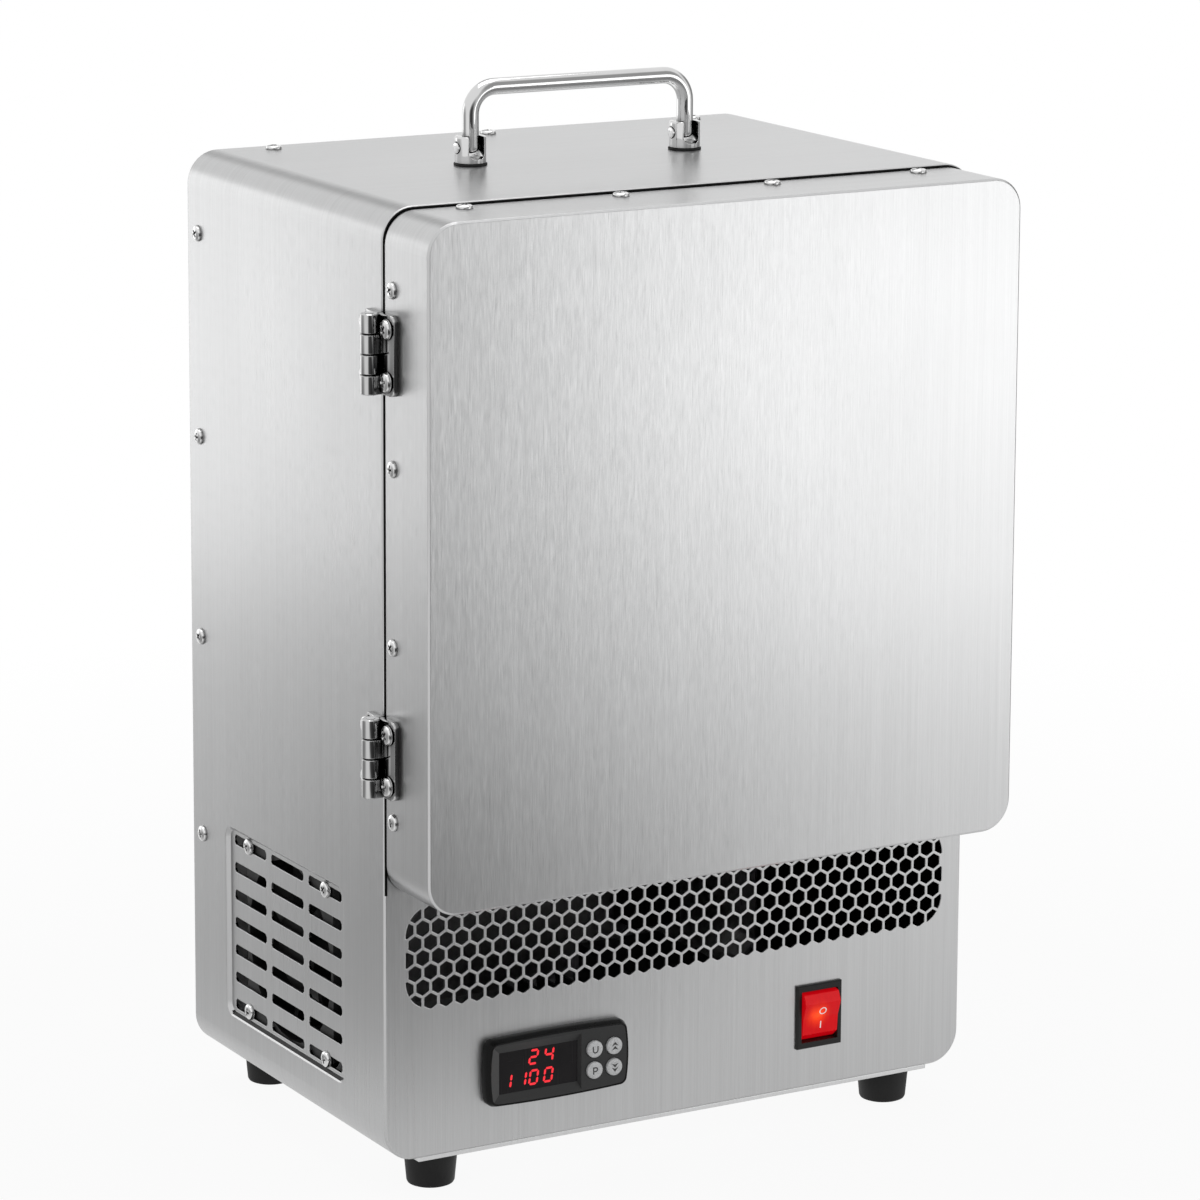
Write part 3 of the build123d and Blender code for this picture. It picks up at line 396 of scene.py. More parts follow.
# %% Group: felted fibres
felt, given, result = start_group(
    "felted_fibres", "Color Roughness Height", Body=grey(0.8, 0.02), Shadow=grey(0.6, 0.04)
)
spot = here()
warp, weft = (
    noise(stretch(spot, pull), 1.0, 3.0, 0.6, 2.0)
    for pull in ((900.0, 160.0, 160.0), (160.0, 160.0, 900.0))
)
fibre = times(maths("ADD", warp, weft), 0.5)
end_group(
    result, Height=fibre,
    Color=blend(remap(fibre, 0.35, 0.62), given["Shadow"], given["Body"]),
    Roughness=remap(fibre, 0.3, 0.7, 0.85, 1.0),
)

# %% [markdown]
# ## Putting a finish together
# Each material keeps its own Principled shader. The groups only hand it
# colours, roughness and heights, and a Bump node turns a height into relief
# of a stated depth on top of the rounded edges.

# %% Finish helpers
finishes = {}
scratch_depth = 0.000002


def use_group(group, **values):
    """The outputs of a group placed in a material with its own values."""
    return feed(add("ShaderNodeGroup", node_tree=group), **values).outputs


def new_finish(name, **sockets):
    """Start a material; returns its Principled shader with some sockets set."""
    finishes[name] = bpy.data.materials.new(name)
    finishes[name].use_nodes = True
    print("finish", name)
    return feed(work_on(finishes[name].node_tree).nodes["Principled BSDF"], **sockets)


def surface_of(shader, colour, roughness, height, depth, normal=None):
    """Feed the shader; the height is relief of a depth in metres over a normal."""
    bump = add("ShaderNodeBump")
    feed(bump, Strength=1.0, Distance=depth, Height=height, Normal=normal)
    feed(shader, Base_Color=colour, Roughness=roughness, Normal=bump.outputs["Normal"])


print("finish helpers ready")

# %% [markdown]
# ## Kinds of finish
# Four recipes cover most of the kiln: brushed sheet, polished steel, moulded
# plastic and mineral board. Each takes the numbers that tell one material
# from its neighbours: tone, gloss, and how far its edges are rounded.

# %% Kinds of finish
def brushed_finish(name, dark, light, low, high, lean=0.3, radius=0.0006, painted_edge_highlight=1.15, shade=None):
    """Brushed sheet with a painted highlight along its edges and painted shade where a mask is
    given.
    """
    shader = new_finish(name, Metallic=1.0)
    rim = use_group(edges, Radius=radius)
    sheet = use_group(
        grain, Dark=grey(dark, -0.004), Light=grey(light, -0.004),
        Roughness_Low=low, Roughness_High=high, Lean=lean, Normal=rim["Normal"],
    )
    # painted highlight: near an edge the colour goes to a brighter tone
    colour = blend(rim["Mask"], sheet["Color"], grey(min(light * painted_edge_highlight, 0.95)))
    if shade:
        # painted shade: where the mask is one the colour goes to near-black
        colour = blend(shade(), colour, grey(0.01))
    surface_of(shader, colour, sheet["Roughness"], sheet["Height"], scratch_depth, sheet["Normal"])


def moulded_finish(
    name, colour, size, low, high, depth=0.00002, radius=0.0003, slope=None, **sockets
):
    """Plastic or rubber; slope is a paler tone, a painted light, for faces that lean to the right.
    """
    shader = new_finish(name, **sockets)
    skin = use_group(pebble, Color=colour, Grain_Size=size, Roughness_Low=low, Roughness_High=high)
    rim = use_group(edges, Radius=radius)
    tone = skin["Color"]
    if slope:
        # painted light: faces that lean to the right get the paler tone
        leaning = vectors("DOT_PRODUCT", surface("Normal"), (0.94, -0.34, 0.0))
        tone = blend(remap(leaning, 0.45, 0.62), tone, slope)
    surface_of(shader, tone, skin["Roughness"], skin["Height"], depth, rim["Normal"])


def polished_finish(name, colour, low, high, radius=0.0003, reach=0.001, opening=0.8):
    """Polished or plated steel with hairlines and painted shade in its crevices."""
    shader = new_finish(name, Metallic=1.0)
    wipe = use_group(hair, Roughness_Low=low, Roughness_High=high)
    rim = use_group(edges, Radius=radius)
    veil = remap(noise(here(), 60.0, 3.0), 0.3, 0.7)
    duller = tuple(c * 0.92 for c in colour[:3]) + (1.0,)
    crevice_shade_mask = use_group(painted_crevice_shade, Distance=reach, Open=opening)
    # painted shade: closed-in places blend towards near-black
    tone = blend(crevice_shade_mask["Mask"], blend(veil, duller, colour), grey(0.012))
    surface_of(shader, tone, wipe["Roughness"], wipe["Height"], scratch_depth, rim["Normal"])


def mineral_finish(name, group, depth, radius=0.0008, **tones):
    """Firebrick or fibre board."""
    shader = new_finish(name, Specular_IOR_Level=0.25)
    body = use_group(group, **tones)
    rim = use_group(edges, Radius=radius)
    surface_of(shader, body["Color"], body["Roughness"], body["Height"], depth, rim["Normal"])


print("kinds of finish ready")

# %% [markdown]
# ## Shade on the casing
# Seen through the vent and the grille the inside of the cabinet is nearly
# black in its shade, and so is the rim behind the door; both are painted
# near-black, a painted shade. One mask finds both from the distance to the
# cabinet's rounded cross-section and from the way the surface faces.

# %% Shade on the casing
bend_middle = 15.5


def casing_painted_shade():
    """Mask of painted shade: one on the casing's inner faces and on the rim that the door covers.
    """
    spot = here()
    place = split(spot)
    middle = at(0, 0, (casing_bottom + casing_top) / 2)
    flat = stretch(vectors("SUBTRACT", spot, middle), (1.0, 0.0, 1.0))
    half_height = (casing_top - casing_bottom) / 2
    straight = ((half_width - bend_middle) / 1000, 0.0, (half_height - bend_middle) / 1000)
    past = vectors("SUBTRACT", vectors("ABSOLUTE", flat), straight)
    skin = vectors("LENGTH", vectors("MAXIMUM", past, (0.0, 0.0, 0.0)))
    outward = vectors("DOT_PRODUCT", flat, surface("True Normal"))
    inward = maths("LESS_THAN", outward, -0.02)
    within = times(inward, maths("LESS_THAN", skin, 0.0149))
    behind = maths("GREATER_THAN", place["Y"], at(0, front + 1.0, 0).y)
    ahead = maths("LESS_THAN", place["Y"], at(0, front + 0.5, 0).y)
    edge = times(ahead, maths("GREATER_THAN", skin, 0.0138))
    above = maths("GREATER_THAN", place["Z"], door_bottom / 1000)
    return maths("MAXIMUM", times(within, behind), times(edge, above))


print("casing shade ready")

# %% [markdown]
# ## Metal finishes
# The cabinet and the door are the same satin stainless sheet; the hinges,
# the handle and its posts are polished. The numbers are a dark and a light
# tone of the grain, or one tone, and the lowest and highest roughness.

# %% Metal finishes
brushed_finish("casing_steel", 0.50, 0.575, 0.27, 0.32, shade=casing_painted_shade)
brushed_finish("door_steel", 0.52, 0.60, 0.28, 0.33, radius=0.00035, painted_edge_highlight=0.95)
brushed_finish("plated_steel", 0.46, 0.54, 0.34, 0.44, 0.4)
brushed_finish("base_steel", 0.66, 0.74, 0.28, 0.36)
# painted shade: the partition plate inside the cabinet is painted near-black for the shade it
# stands in
brushed_finish("inner_steel_painted_shade", 0.03, 0.05, 0.5, 0.62, 0.2)
# painted shade: the heat sink's aluminium fins inside the cabinet are painted near-black for the
# shade they sit in
brushed_finish("fins_painted_shade", 0.02, 0.03, 0.4, 0.5, 0.2, 0.0004)
polished_finish("polished_steel", grey(0.66), 0.02, 0.07, reach=0.0012)
# painted shade: the hinges get a darker copy of the polished steel, for the dark they mirror
polished_finish("hinge_steel_shaded", grey(0.57), 0.02, 0.07, reach=0.006, opening=1.0)
polished_finish("post_steel", grey(0.7), 0.02, 0.07, reach=0.004, opening=0.85)
polished_finish("screw_steel", grey(0.82), 0.1, 0.2, 0.0002, 0.0014, 0.96)

# %% [markdown]
# ## Plastic, rubber and ceramic finishes
# The controller and the switch are dark moulded plastic and the feet are
# rubber. Black plastic is far darker than one expects, a hundredth of the
# light, and what shows its shape is its gloss.

# %% Plastic, rubber and ceramic finishes
moulded_finish(
    "black_rubber", grey(0.006), 900.0, 0.5, 0.68, 0.00003, 0.0006, Specular_IOR_Level=0.3
)
# painted light: the frame's left slope is paler
moulded_finish("controller_plastic", grey(0.014, -0.02), 1600.0, 0.36, 0.48, slope=grey(0.045))
# painted shade: the rim is a darker copy of the controller plastic; its higher gloss is real
moulded_finish("controller_rim_shaded", grey(0.005), 1600.0, 0.2, 0.3, 0.000004, Specular_IOR_Level=0.16)
moulded_finish("black_plastic", grey(0.011), 1500.0, 0.4, 0.55, Specular_IOR_Level=0.3)
moulded_finish("key_plastic", grey(0.66, -0.01), 1400.0, 0.4, 0.52, 0.00001, 0.0004)
mineral_finish("firebrick", pores, 0.0004, 0.0012, Body=grey(0.74, 0.05), Pore=grey(0.5, 0.09))
mineral_finish("fibre_insulation", felt, 0.0003, Body=grey(0.8, 0.02), Shadow=grey(0.62, 0.04))

# %% [markdown]
# ## Heating wire
# Resistance wire grows a dull grey-brown scale after its first firings, in
# patches along its length.

# %% Heating wire
shader = new_finish("heating_wire", Metallic=0.8)
spot = here()
scale_patch = noise(spot, 140.0, 4.0, 0.6)
browned = remap(scale_patch, 0.35, 0.65)
surface_of(
    shader, blend(browned, (0.16, 0.13, 0.11, 1), (0.34, 0.32, 0.3, 1)),
    remap(scale_patch, 0.3, 0.7, 0.45, 0.75), noise(spot, 1500.0, 3.0), 0.00002,
)

# %% [markdown]
# ## Display window
# The display sits behind a pane of smoked acrylic, nearly black and a little
# glossy. The lit figures are thin pieces on the pane.

# %% Display window
shader = new_finish("display_window", Specular_IOR_Level=0.18)
haze = remap(noise(here(), 120.0, 3.0), 0.3, 0.7)
wipe = use_group(hair, Roughness_Low=0.22, Roughness_High=0.36)
surface_of(
    shader, blend(haze, (0.007, 0.006, 0.007, 1), (0.012, 0.010, 0.011, 1)),
    wipe["Roughness"], wipe["Height"], 0.000001,
)

# %% [markdown]
# ## Lit rocker
# The red cap glows orange where the small lamp behind it is close. The glow
# is an emission whose colour falls off with the distance from the lamp, so
# it stays on the cap from every side.

# %% Lit rocker
rocker_x, rocker_z = 76.5, 54.1
lamp_place = at(rocker_x - 2.0, -104.0, rocker_z + 1.2)
shader = new_finish("red_translucent_plastic", Emission_Strength=1.0, Specular_IOR_Level=0.14)
spot = here()
near_lamp = remap(vectors("DISTANCE", spot, lamp_place), 0.0015, 0.009, 1.0, 0.0)
ribbed = noise(stretch(spot, (1.0, 1.0, 0.35)), 420.0)
ribs = remap(ribbed, 0.3, 0.7, 0.7, 1.15)
glow = times(maths("POWER", near_lamp, 2.0), ribs)
feed(shader, Emission_Color=blend(glow, (0.32, 0.0, 0.003, 1), (0.98, 0.085, 0.01, 1)))
wipe = use_group(hair, Roughness_Low=0.16, Roughness_High=0.3)
surface_of(
    shader, blend(ribs, (0.36, 0.002, 0.004, 1), (0.52, 0.005, 0.006, 1)),
    wipe["Roughness"], wipe["Height"], scratch_depth,
    use_group(edges, Radius=0.0005)["Normal"],
)
print("rocker lit from", tuple(round(v, 4) for v in lamp_place))

# %% [markdown]
# ## Lit figures and printed marks
# The figures of the display glow red. Marks on the keys are printed in dark
# grey, and those on the switch in white with a faint painted glow. Ink is
# never quite even, so each has a fine noise in its tone.

# %% Glow and ink
def ink(name, first, second, glow_strength=0.0):
    """A thin printed or glowing layer."""
    shader = new_finish(name, Emission_Strength=glow_strength)
    even = remap(noise(here(), 1200.0), 0.3, 0.7)
    colour = blend(even, first, second)
    feed(shader, Base_Color=colour, Roughness=remap(even, 0.0, 1.0, 0.42, 0.56))
    if glow_strength:
        feed(shader, Emission_Color=colour)


ink("lit_figure", (0.64, 0.010, 0.018, 1), (0.80, 0.024, 0.036, 1), 1.0)
ink("dark_ink", grey(0.03), grey(0.05))
# painted light: the white marks glow faintly of their own
ink("white_ink", grey(0.8), grey(0.9), 0.25)

# %% [markdown]
# ## Dressing the loaded parts
# Each loaded part has one material slot, and most finishes above have the
# name of the slot they belong in. The loop swaps them in; two slots have a
# finish of another name, and two plates a finish of their own.

# %% Dress the parts
renamed = {"mirror_steel": "polished_steel", "aluminium": "fins_painted_shade"}
own_finish = {"base_plate": "base_steel", "partition_plate": "inner_steel_painted_shade"}
for name, part in nodes.items():
    for slot in part.material_slots:
        loaded = slot.material.name.split(".")[0]
        slot.material = finishes[own_finish.get(name, renamed.get(loaded, loaded))]
print("dressed", len(nodes), "parts")

# %% [markdown]
# ## Helpers for added pieces
# Added pieces are drawn in millimetres on the drawing's axes, then moved
# into the scene. Each rides on the body that carries it, and some stand in
# for a part of the engineering model.

# %% Piece helper
def finish_piece(name, mesh, material, body, stands_for=None, slot=None, smooth=35.0):
    """Make an object from a bmesh drawn in millimetres; the slot argument is not used."""
    data = bpy.data.meshes.new(name)
    bmesh.ops.transform(mesh, matrix=drawing, verts=mesh.verts)
    bmesh.ops.recalc_face_normals(mesh, faces=mesh.faces)
    for face in mesh.faces:
        face.smooth = True
    for edge in mesh.edges:
        edge.smooth = edge.calc_face_angle(0.0) < radians(smooth)
    mesh.to_mesh(data)
    mesh.free()
    data.materials.append(finishes[material])
    piece = add_object(name, data)
    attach(piece, body)
    if stands_for:
        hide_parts(stands_for)
    print(name, "with", len(data.polygons), "faces")


print("piece helper ready")

# %% [markdown]
# ## Helpers for shapes
# Nearly every shape here is a row of rings of points, each joined to the
# next by a skirt of faces. The lathe places its rings by radius and height,
# the slab uses an outline twice, and the tube sets them along a path.

# %% Shape helpers
def circle(radius, steps):
    """Points round a circle."""
    turns = [2 * pi * i / steps for i in range(steps)]
    return [(radius * cos(a), radius * sin(a)) for a in turns]


def skirt(mesh, first, second):
    """Faces between two rings; either may be a single vertex."""
    steps = max(len(first), len(second))
    for i in range(steps):
        j = (i + 1) % steps
        corners = (first[i % len(first)], first[j % len(first)],
                   second[j % len(second)], second[i % len(second)])
        unique = list(dict.fromkeys(corners))
        if len(unique) > 2:
            mesh.faces.new(unique)


def lathe(mesh, profile, matrix=Matrix.Identity(4), steps=40):
    """Turn a profile of (radius, height) about Z; matrix then places it."""
    rings = []
    for radius, height in profile:
        points = circle(radius, steps) if radius else [(0, 0)]
        rings.append([mesh.verts.new(matrix @ Vector((x, y, height))) for x, y in points])
    for low, high in zip(rings, rings[1:]):
        skirt(mesh, low, high)


def tube(mesh, stations, closed=False):
    """A tube through stations: centre, two directions across, and the section's points."""
    rings = [
        [mesh.verts.new(centre + across * a + other * b) for a, b in section]
        for centre, across, other, section in stations
    ]
    for first, second in zip(rings, rings[1:] + rings[:closed]):
        skirt(mesh, first, second)
    if not closed:
        mesh.faces.new(rings[0])
        mesh.faces.new(rings[-1])


def round_edges(mesh, edges_of, width, steps):
    """Bevel some edges."""
    bmesh.ops.bevel(mesh, geom=list(edges_of), offset=width, segments=steps, profile=0.5,
                    affect="EDGES")


def block(mesh, low, high, bevel):
    """A box between two corners, its edges rounded."""
    size = [b - a for a, b in zip(low, high)]
    centre = [(a + b) / 2 for a, b in zip(low, high)]
    matrix = Matrix.Translation(centre) @ Matrix.Diagonal((*size, 1.0))
    made = bmesh.ops.create_cube(mesh, size=1.0, matrix=matrix)
    round_edges(mesh, {e for v in made["verts"] for e in v.link_edges}, bevel, 2)


def slab(mesh, outline, matrix, thickness, bevel=0.0):
    """Thicken a flat outline along +Z of its matrix and round its upper rim."""
    low, high = (
        [mesh.verts.new(matrix @ Vector((x, y, z))) for x, y in outline] for z in (0, thickness)
    )
    mesh.faces.new(low[::-1])
    top = mesh.faces.new(high)
    skirt(mesh, low, high)
    if bevel:
        round_edges(mesh, top.edges, bevel, 3)


def rounded_outline(width, height, radius, steps=6):
    """A rectangle with rounded corners about its middle."""
    points = []
    for sx, sy, start in ((1, 1, 0), (-1, 1, 90), (-1, -1, 180), (1, -1, 270)):
        for i in range(steps + 1):
            a = radians(start + 90 * i / steps)
            points.append((sx * (width / 2 - radius) + radius * cos(a),
                           sy * (height / 2 - radius) + radius * sin(a)))
    return points


def subdivide(outline, parts):
    """Cut a closed outline's edges; parts gives the number for an edge's index and length."""
    points = []
    for i, (x, y) in enumerate(outline):
        nx, ny = outline[(i + 1) % len(outline)]
        count = parts(i, hypot(nx - x, ny - y))
        points += [(x + (nx - x) * k / count, y + (ny - y) * k / count) for k in range(count)]
    return points


def moved(x, y, z):
    """A matrix that moves a shape."""
    return Matrix.Translation((x, y, z))


def looking(direction, place):
    """A matrix whose +Z looks along a direction, placed on the drawing."""
    side = Vector(direction).to_track_quat("Z", "Y").to_matrix().to_4x4()
    return Matrix.Translation(place) @ side


print("shape helpers ready")

# %% [markdown]
# ## Cutting
# A recess is made as a workshop would make it: a tool of the recess's shape
# is taken away from the body with a Boolean modifier.

# %% Cut helper
def cut(body, cutter):
    """The body with the cutter taken away, as a new bmesh."""
    made = []
    for name, part in (("cut_body", body), ("cut_tool", cutter)):
        bmesh.ops.recalc_face_normals(part, faces=part.faces)
        data = bpy.data.meshes.new(name)
        part.to_mesh(data)
        part.free()
        made.append(add_object(name, data))
    change = made[0].modifiers.new("cut", "BOOLEAN")
    change.operation, change.solver = "DIFFERENCE", "EXACT"
    change.use_self = True
    change.object = made[1]
    result = bmesh.new()
    result.from_mesh(made[0].evaluated_get(bpy.context.evaluated_depsgraph_get()).to_mesh())
    for piece in made:
        data = piece.data
        bpy.data.objects.remove(piece)
        bpy.data.meshes.remove(data)
    return result


print("cut helper ready")

# %% [markdown]
# ## Screws
# One pan head is turned on the lathe and its cross recess is cut once. Copies
# go wherever they are needed, each turned differently as real ones are. The
# copies on one panel are one piece.

# %% Screw heads
def screw_head(radius, height):
    """A pan head with a thin ring round its foot and a cross recess, seated at zero."""
    ring = radius + 0.3
    body = bmesh.new()
    lathe(body, (
        (0, -0.3), (ring, -0.3), (ring, 0.08), (radius * 0.99, 0.08),
        (radius * 0.985, height * 0.38), (radius * 0.93, height * 0.66),
        (radius * 0.76, height * 0.88), (radius * 0.4, height * 0.98), (0, height),
    ), steps=36)
    cutter = bmesh.new()
    arm, half = radius * 0.62, radius * 0.15
    for turn in (0, 90):
        tilt = Matrix.Rotation(radians(turn), 4, "Z")
        upper, lower = (
            [cutter.verts.new(tilt @ Vector((a * x, b * y, z)))
             for a, b in ((-1, -1), (1, -1), (1, 1), (-1, 1))]
            for x, y, z in ((arm, half, height + 0.4), (arm * 0.35, half * 0.8, height * 0.25))
        )
        cutter.faces.new(upper)
        cutter.faces.new(lower[::-1])
        skirt(cutter, lower, upper)
    return cut(body, cutter)


def scatter_screws(name, head, places, direction, body, slot="plated_steel"):
    """Copies of a head at places on one face, as one piece."""
    master = bpy.data.meshes.new("head")
    head.to_mesh(master)
    mesh = bmesh.new()
    for count, spot in enumerate(places):
        spin = Matrix.Rotation(radians(37.0 * count + 11.0), 4, "Z")
        before = set(mesh.verts)
        mesh.from_mesh(master)
        fresh = [v for v in mesh.verts if v not in before]
        bmesh.ops.transform(mesh, matrix=looking(direction, spot) @ spin, verts=fresh)
    bpy.data.meshes.remove(master)
    finish_piece(name, mesh, "screw_steel", body, slot=slot, smooth=30.0)


panel_head = screw_head(3.9, 2.0)
print("screw head:", len(panel_head.faces), "faces")

# %% [markdown]
# ## Screw rows
# Rows of screws hold the wrap to the frame, the door's pan to its inner
# plate, the fan behind its vent, and the back panel.

# %% Panel screws
casing_rows = (128.5, 227.3, 326.0, 424.9)
door_rows = (183.1, 264.3, 346.2, 427.2)
casing_row_y, vent_x, back_y = 91.0, -155.5, 100.5
fan_y, fan_z, fan_half = 2.5, 91.9, 41.25
for side, word in ((-1, "left"), (1, "right")):
    for body, x, y, rows in (
        ("casing", half_width, casing_row_y, casing_rows),
        ("door", door_half_width, -110.7, door_rows),
    ):
        scatter_screws(
            f"{body}_screws_{word}", panel_head, [(side * x, y, z) for z in rows],
            (side, 0, 0), body,
        )
for name, body, direction, places in (
    ("casing_screws_top", "casing", (0, 0, 1),
     [(x, casing_row_y, casing_top) for x in (-117.0, 0.0, 117.0)]),
    ("door_screws_top", "door", (0, 0, 1),
     [(x, -110.9, door_top) for x in (-120.8, -40.3, 40.3, 120.8)]),
    ("fan_screws", "casing", (-1, 0, 0),
     [(vent_x, fan_y + a * fan_half, fan_z + b * fan_half) for a in (-1, 1) for b in (-1, 1)]),
    ("back_screws", "casing", (0, 1, 0),
     [(x, back_y, z) for x in (-147.0, 147.0) for z in (60.0, 240.0, 420.0)]),
):
    scatter_screws(name, panel_head, places, direction, body)

# %% [markdown]
# ## Hinges
# Each hinge has two thick polished leaves and four knuckles on one pin. The
# knuckles' small chamfers make the dark lines between them, deepened by
# painted shade in the gaps. Each leaf is a rounded outline with a bevelled
# rim, dished from its knuckles to its free edge.

# %% Hinges
axis_x, axis_y = -164.3, -102.7
leaf_face, leaf_height, leaf_half, leaf_gap = -160.6, 37.0, 18.3, 0.5
knuckle_pitch, knuckle_start = 9.25, 0.14
knuckle = ((0, 0), (3.75, 0), (4.2, 0.4), (4.25, 0.7), (4.25, 8.27), (4.2, 8.57), (3.75, 8.97),
           (0, 8.97))
dish = 1.2
hinge_screw = screw_head(4.5, 1.8)


def hinge_leaf(name, low, side, first, wall_x, body):
    """One leaf with its two knuckles; side -1 is the door's."""
    mesh = bmesh.new()
    reach = 13.4 if side < 0 else 14.6
    corners = rounded_outline(2 * reach, 2 * leaf_half, 3.0)
    outline = [(0.0, -leaf_half), *corners[21:], *corners[:7], (0.0, leaf_half)]
    middle = moved(wall_x, axis_y + side * leaf_gap, low + leaf_height / 2)
    turned = Matrix(((0, 0, -1, 0), (side, 0, 0, 0), (0, 1, 0, 0), (0, 0, 0, 1)))
    slab(mesh, outline, middle @ turned, wall_x - leaf_face, bevel=0.9)
    for strip in range(1, 9):
        bmesh.ops.bisect_plane(
            mesh, geom=mesh.verts[:] + mesh.edges[:] + mesh.faces[:],
            plane_co=(0, axis_y + side * (leaf_gap + strip * reach / 9), 0), plane_no=(0, 1, 0),
        )
    for vert in mesh.verts:
        if vert.co.x < wall_x - 1.0:
            vert.co.x += dish * ((vert.co.y - axis_y) * side / reach) ** 2
    near, far = sorted((axis_y, axis_y + side * 4.1))
    for index in range(first, 4, 2):
        z = low + index * knuckle_pitch + knuckle_start
        lathe(mesh, knuckle, moved(axis_x, axis_y, z))
        block(mesh, (-163.2, near, z + 0.2), (wall_x - 0.4, far, z + 8.77), 0.25)
    finish_piece(name + "_polished", mesh, "hinge_steel_shaded", body, name, "mirror_steel")


for rise, word in ((-91.4, "lower"), (94.2, "upper")):
    centre = door_mid + rise
    low = centre - leaf_height / 2
    hinge_leaf(f"{word}_hinge_door_leaf", low, -1, 0, -door_half_width, "door")
    hinge_leaf(f"{word}_hinge_casing_leaf", low, 1, 1, -half_width, "casing")
    for y, body in ((-111.4, "door"), (-91.3, "casing")):
        scatter_screws(
            f"{word}_hinge_screws_{body}", hinge_screw,
            [(leaf_face, y, centre + dz) for dz in (-11.9, 11.9)], (-1, 0, 0), body,
            "mirror_steel",
        )
    print(word, "hinge from", round(low, 1), "mm")

# %% [markdown]
# ## Feet
# The feet are moulded rubber, tapering to the table, with a rounded lower
# rim and a recess for their screw.

# %% Feet
foot = (
    (0, 11.0), (4.6, 11.0), (4.9, 10.6), (5.0, 0.6), (5.6, 0.0), (9.9, 0.0), (10.8, 0.4),
    (11.3, 1.3), (12.6, 15.2), (12.75, 16.1), (12.3, 16.5), (0, 16.5),
)
mesh = bmesh.new()
for x in (-125.0, 125.0):
    for y in (-85.0, 85.0):
        lathe(mesh, foot, moved(x, y, 0), 48)
finish_piece("rubber_feet_moulded", mesh, "black_rubber", "casing", "rubber_feet")

# %% [markdown]
# ## Carry handle
# The handle is a chromed bar, a tube along its centre line: rings of points,
# each square to the path, with the last few shrinking to make round ends.

# %% Handle bar
bar_radius, bar_x, bar_foot, bar_top, bend = 4.0, 58.5, 468.4, 499.5, 12.5
end_depth, end_angles = 2.6, (88, 70, 50, 30, 12)


def bar_line():
    """Centre line of the bar with its direction, from the left foot up and over."""
    rise = bar_top - bend - bar_foot
    line = [(Vector((-bar_x, 0, bar_foot + rise * i / 6)), Vector((0, 0, 1))) for i in range(7)]
    for i in range(1, 11):
        a = radians(9 * i)
        place = (-bar_x + bend - bend * cos(a), 0, bar_top - bend + bend * sin(a))
        line.append((Vector(place), Vector((sin(a), 0, cos(a)))))
    left_half = line[::-1]
    for i in range(1, 9):
        x = -bar_x + bend + 2 * (bar_x - bend) * i / 9
        line.append((Vector((x, 0, bar_top)), Vector((1, 0, 0))))
    return line + [(Vector((-p.x, 0, p.z)), Vector((t.x, 0, -t.z))) for p, t in left_half]


def round_end(place, heading, angles):
    """Shrinking rings at an end of the bar: place, heading and size."""
    for a in map(radians, angles):
        yield place + Vector((0, 0, end_depth * (1 - sin(a)))), heading, cos(a)


line = bar_line()
stations = [*round_end(*line[0], end_angles), *((p, t, 1.0) for p, t in line[1:-1]),
            *round_end(*line[-1], end_angles[::-1])]
across = Vector((0, 1, 0))
mesh = bmesh.new()
tube(mesh, [
    (place, across, heading.cross(across).normalized(), circle(bar_radius * size, 36))
    for place, heading, size in stations
])
finish_piece("carry_handle_polished", mesh, "post_steel", "handle", "carry_handle", "mirror_steel")
print("handle swept through", len(stations), "rings")

# %% [markdown]
# ## Handle posts
# Each post is turned, slotted from above for the handle and cross-drilled for
# its pin. A thin rubber washer keeps the post off the steel.

# %% Posts, pins and washers
post_low, pivot_z, slot_half, slot_low, slot_high = 464.0, 471.4, 4.15, 466.25, 477.8
post = ((0, 0), (7.2, 0), (7.5, 0.3), (7.5, 11.9), (7.35, 12.4), (6.9, 12.8), (0, 12.8))
half_slot = [(slot_half, slot_high), (slot_half, slot_low + 2.75), (3.6, slot_low + 1.05),
             (2.2, slot_low)]
slot_shape = [(-x, z) for x, z in half_slot] + half_slot[::-1]
pin = ((0, 0), (1.6, 0), (2.3, 0.1), (2.6, 0.4), (2.6, 1.5), (1.6, 1.5), (1.6, 15.2), (1.3, 15.5),
       (0, 15.5))
washer = ((0, 0), (7.9, 0), (8.0, 0.2), (8.0, 0.8), (7.9, 1.0), (0, 1.0))
pins, washers = bmesh.new(), bmesh.new()
for x, word in ((-bar_x, "left"), (bar_x, "right")):
    body, slotter, drill = bmesh.new(), bmesh.new(), bmesh.new()
    lathe(body, post, moved(x, 0, post_low), 64)
    across_slot = moved(x, 9.0, 0) @ Matrix.Rotation(pi / 2, 4, "X")
    slab(slotter, slot_shape, across_slot, 18.0)
    pin_hole = looking((1, 0, 0), (x - 8.5, 0, pivot_z))
    lathe(drill, ((0, 0), (2.95, 0), (2.95, 2.0), (0, 2.0)),
          pin_hole @ Matrix.Rotation(radians(4.0), 4, "Z"), 32)
    name, post_mesh = f"{word}_handle_post", cut(cut(body, slotter), drill)
    finish_piece(name + "_turned", post_mesh, "post_steel", "casing", name, "mirror_steel")
    lathe(pins, pin, looking((1, 0, 0), (x - 8.2, 0, pivot_z)), 28)
    lathe(washers, washer, moved(x, 0, casing_top), 48)
finish_piece("handle_pins_turned", pins, "screw_steel", "casing", "handle_pins", "mirror_steel")
finish_piece("handle_washers_moulded", washers, "black_rubber", "casing", "handle_washers")

# %% [markdown]
# ## Controller bezel
# The bezel is one moulding with two looks: a glossy black rim that bows
# outwards, whose extra darkness is painted shade, and a satin face. Rings of
# the same outline, each a little smaller and further out, make the rim.

# %% Bezel rim
bezel_x, bezel_z = -69.25, 54.25


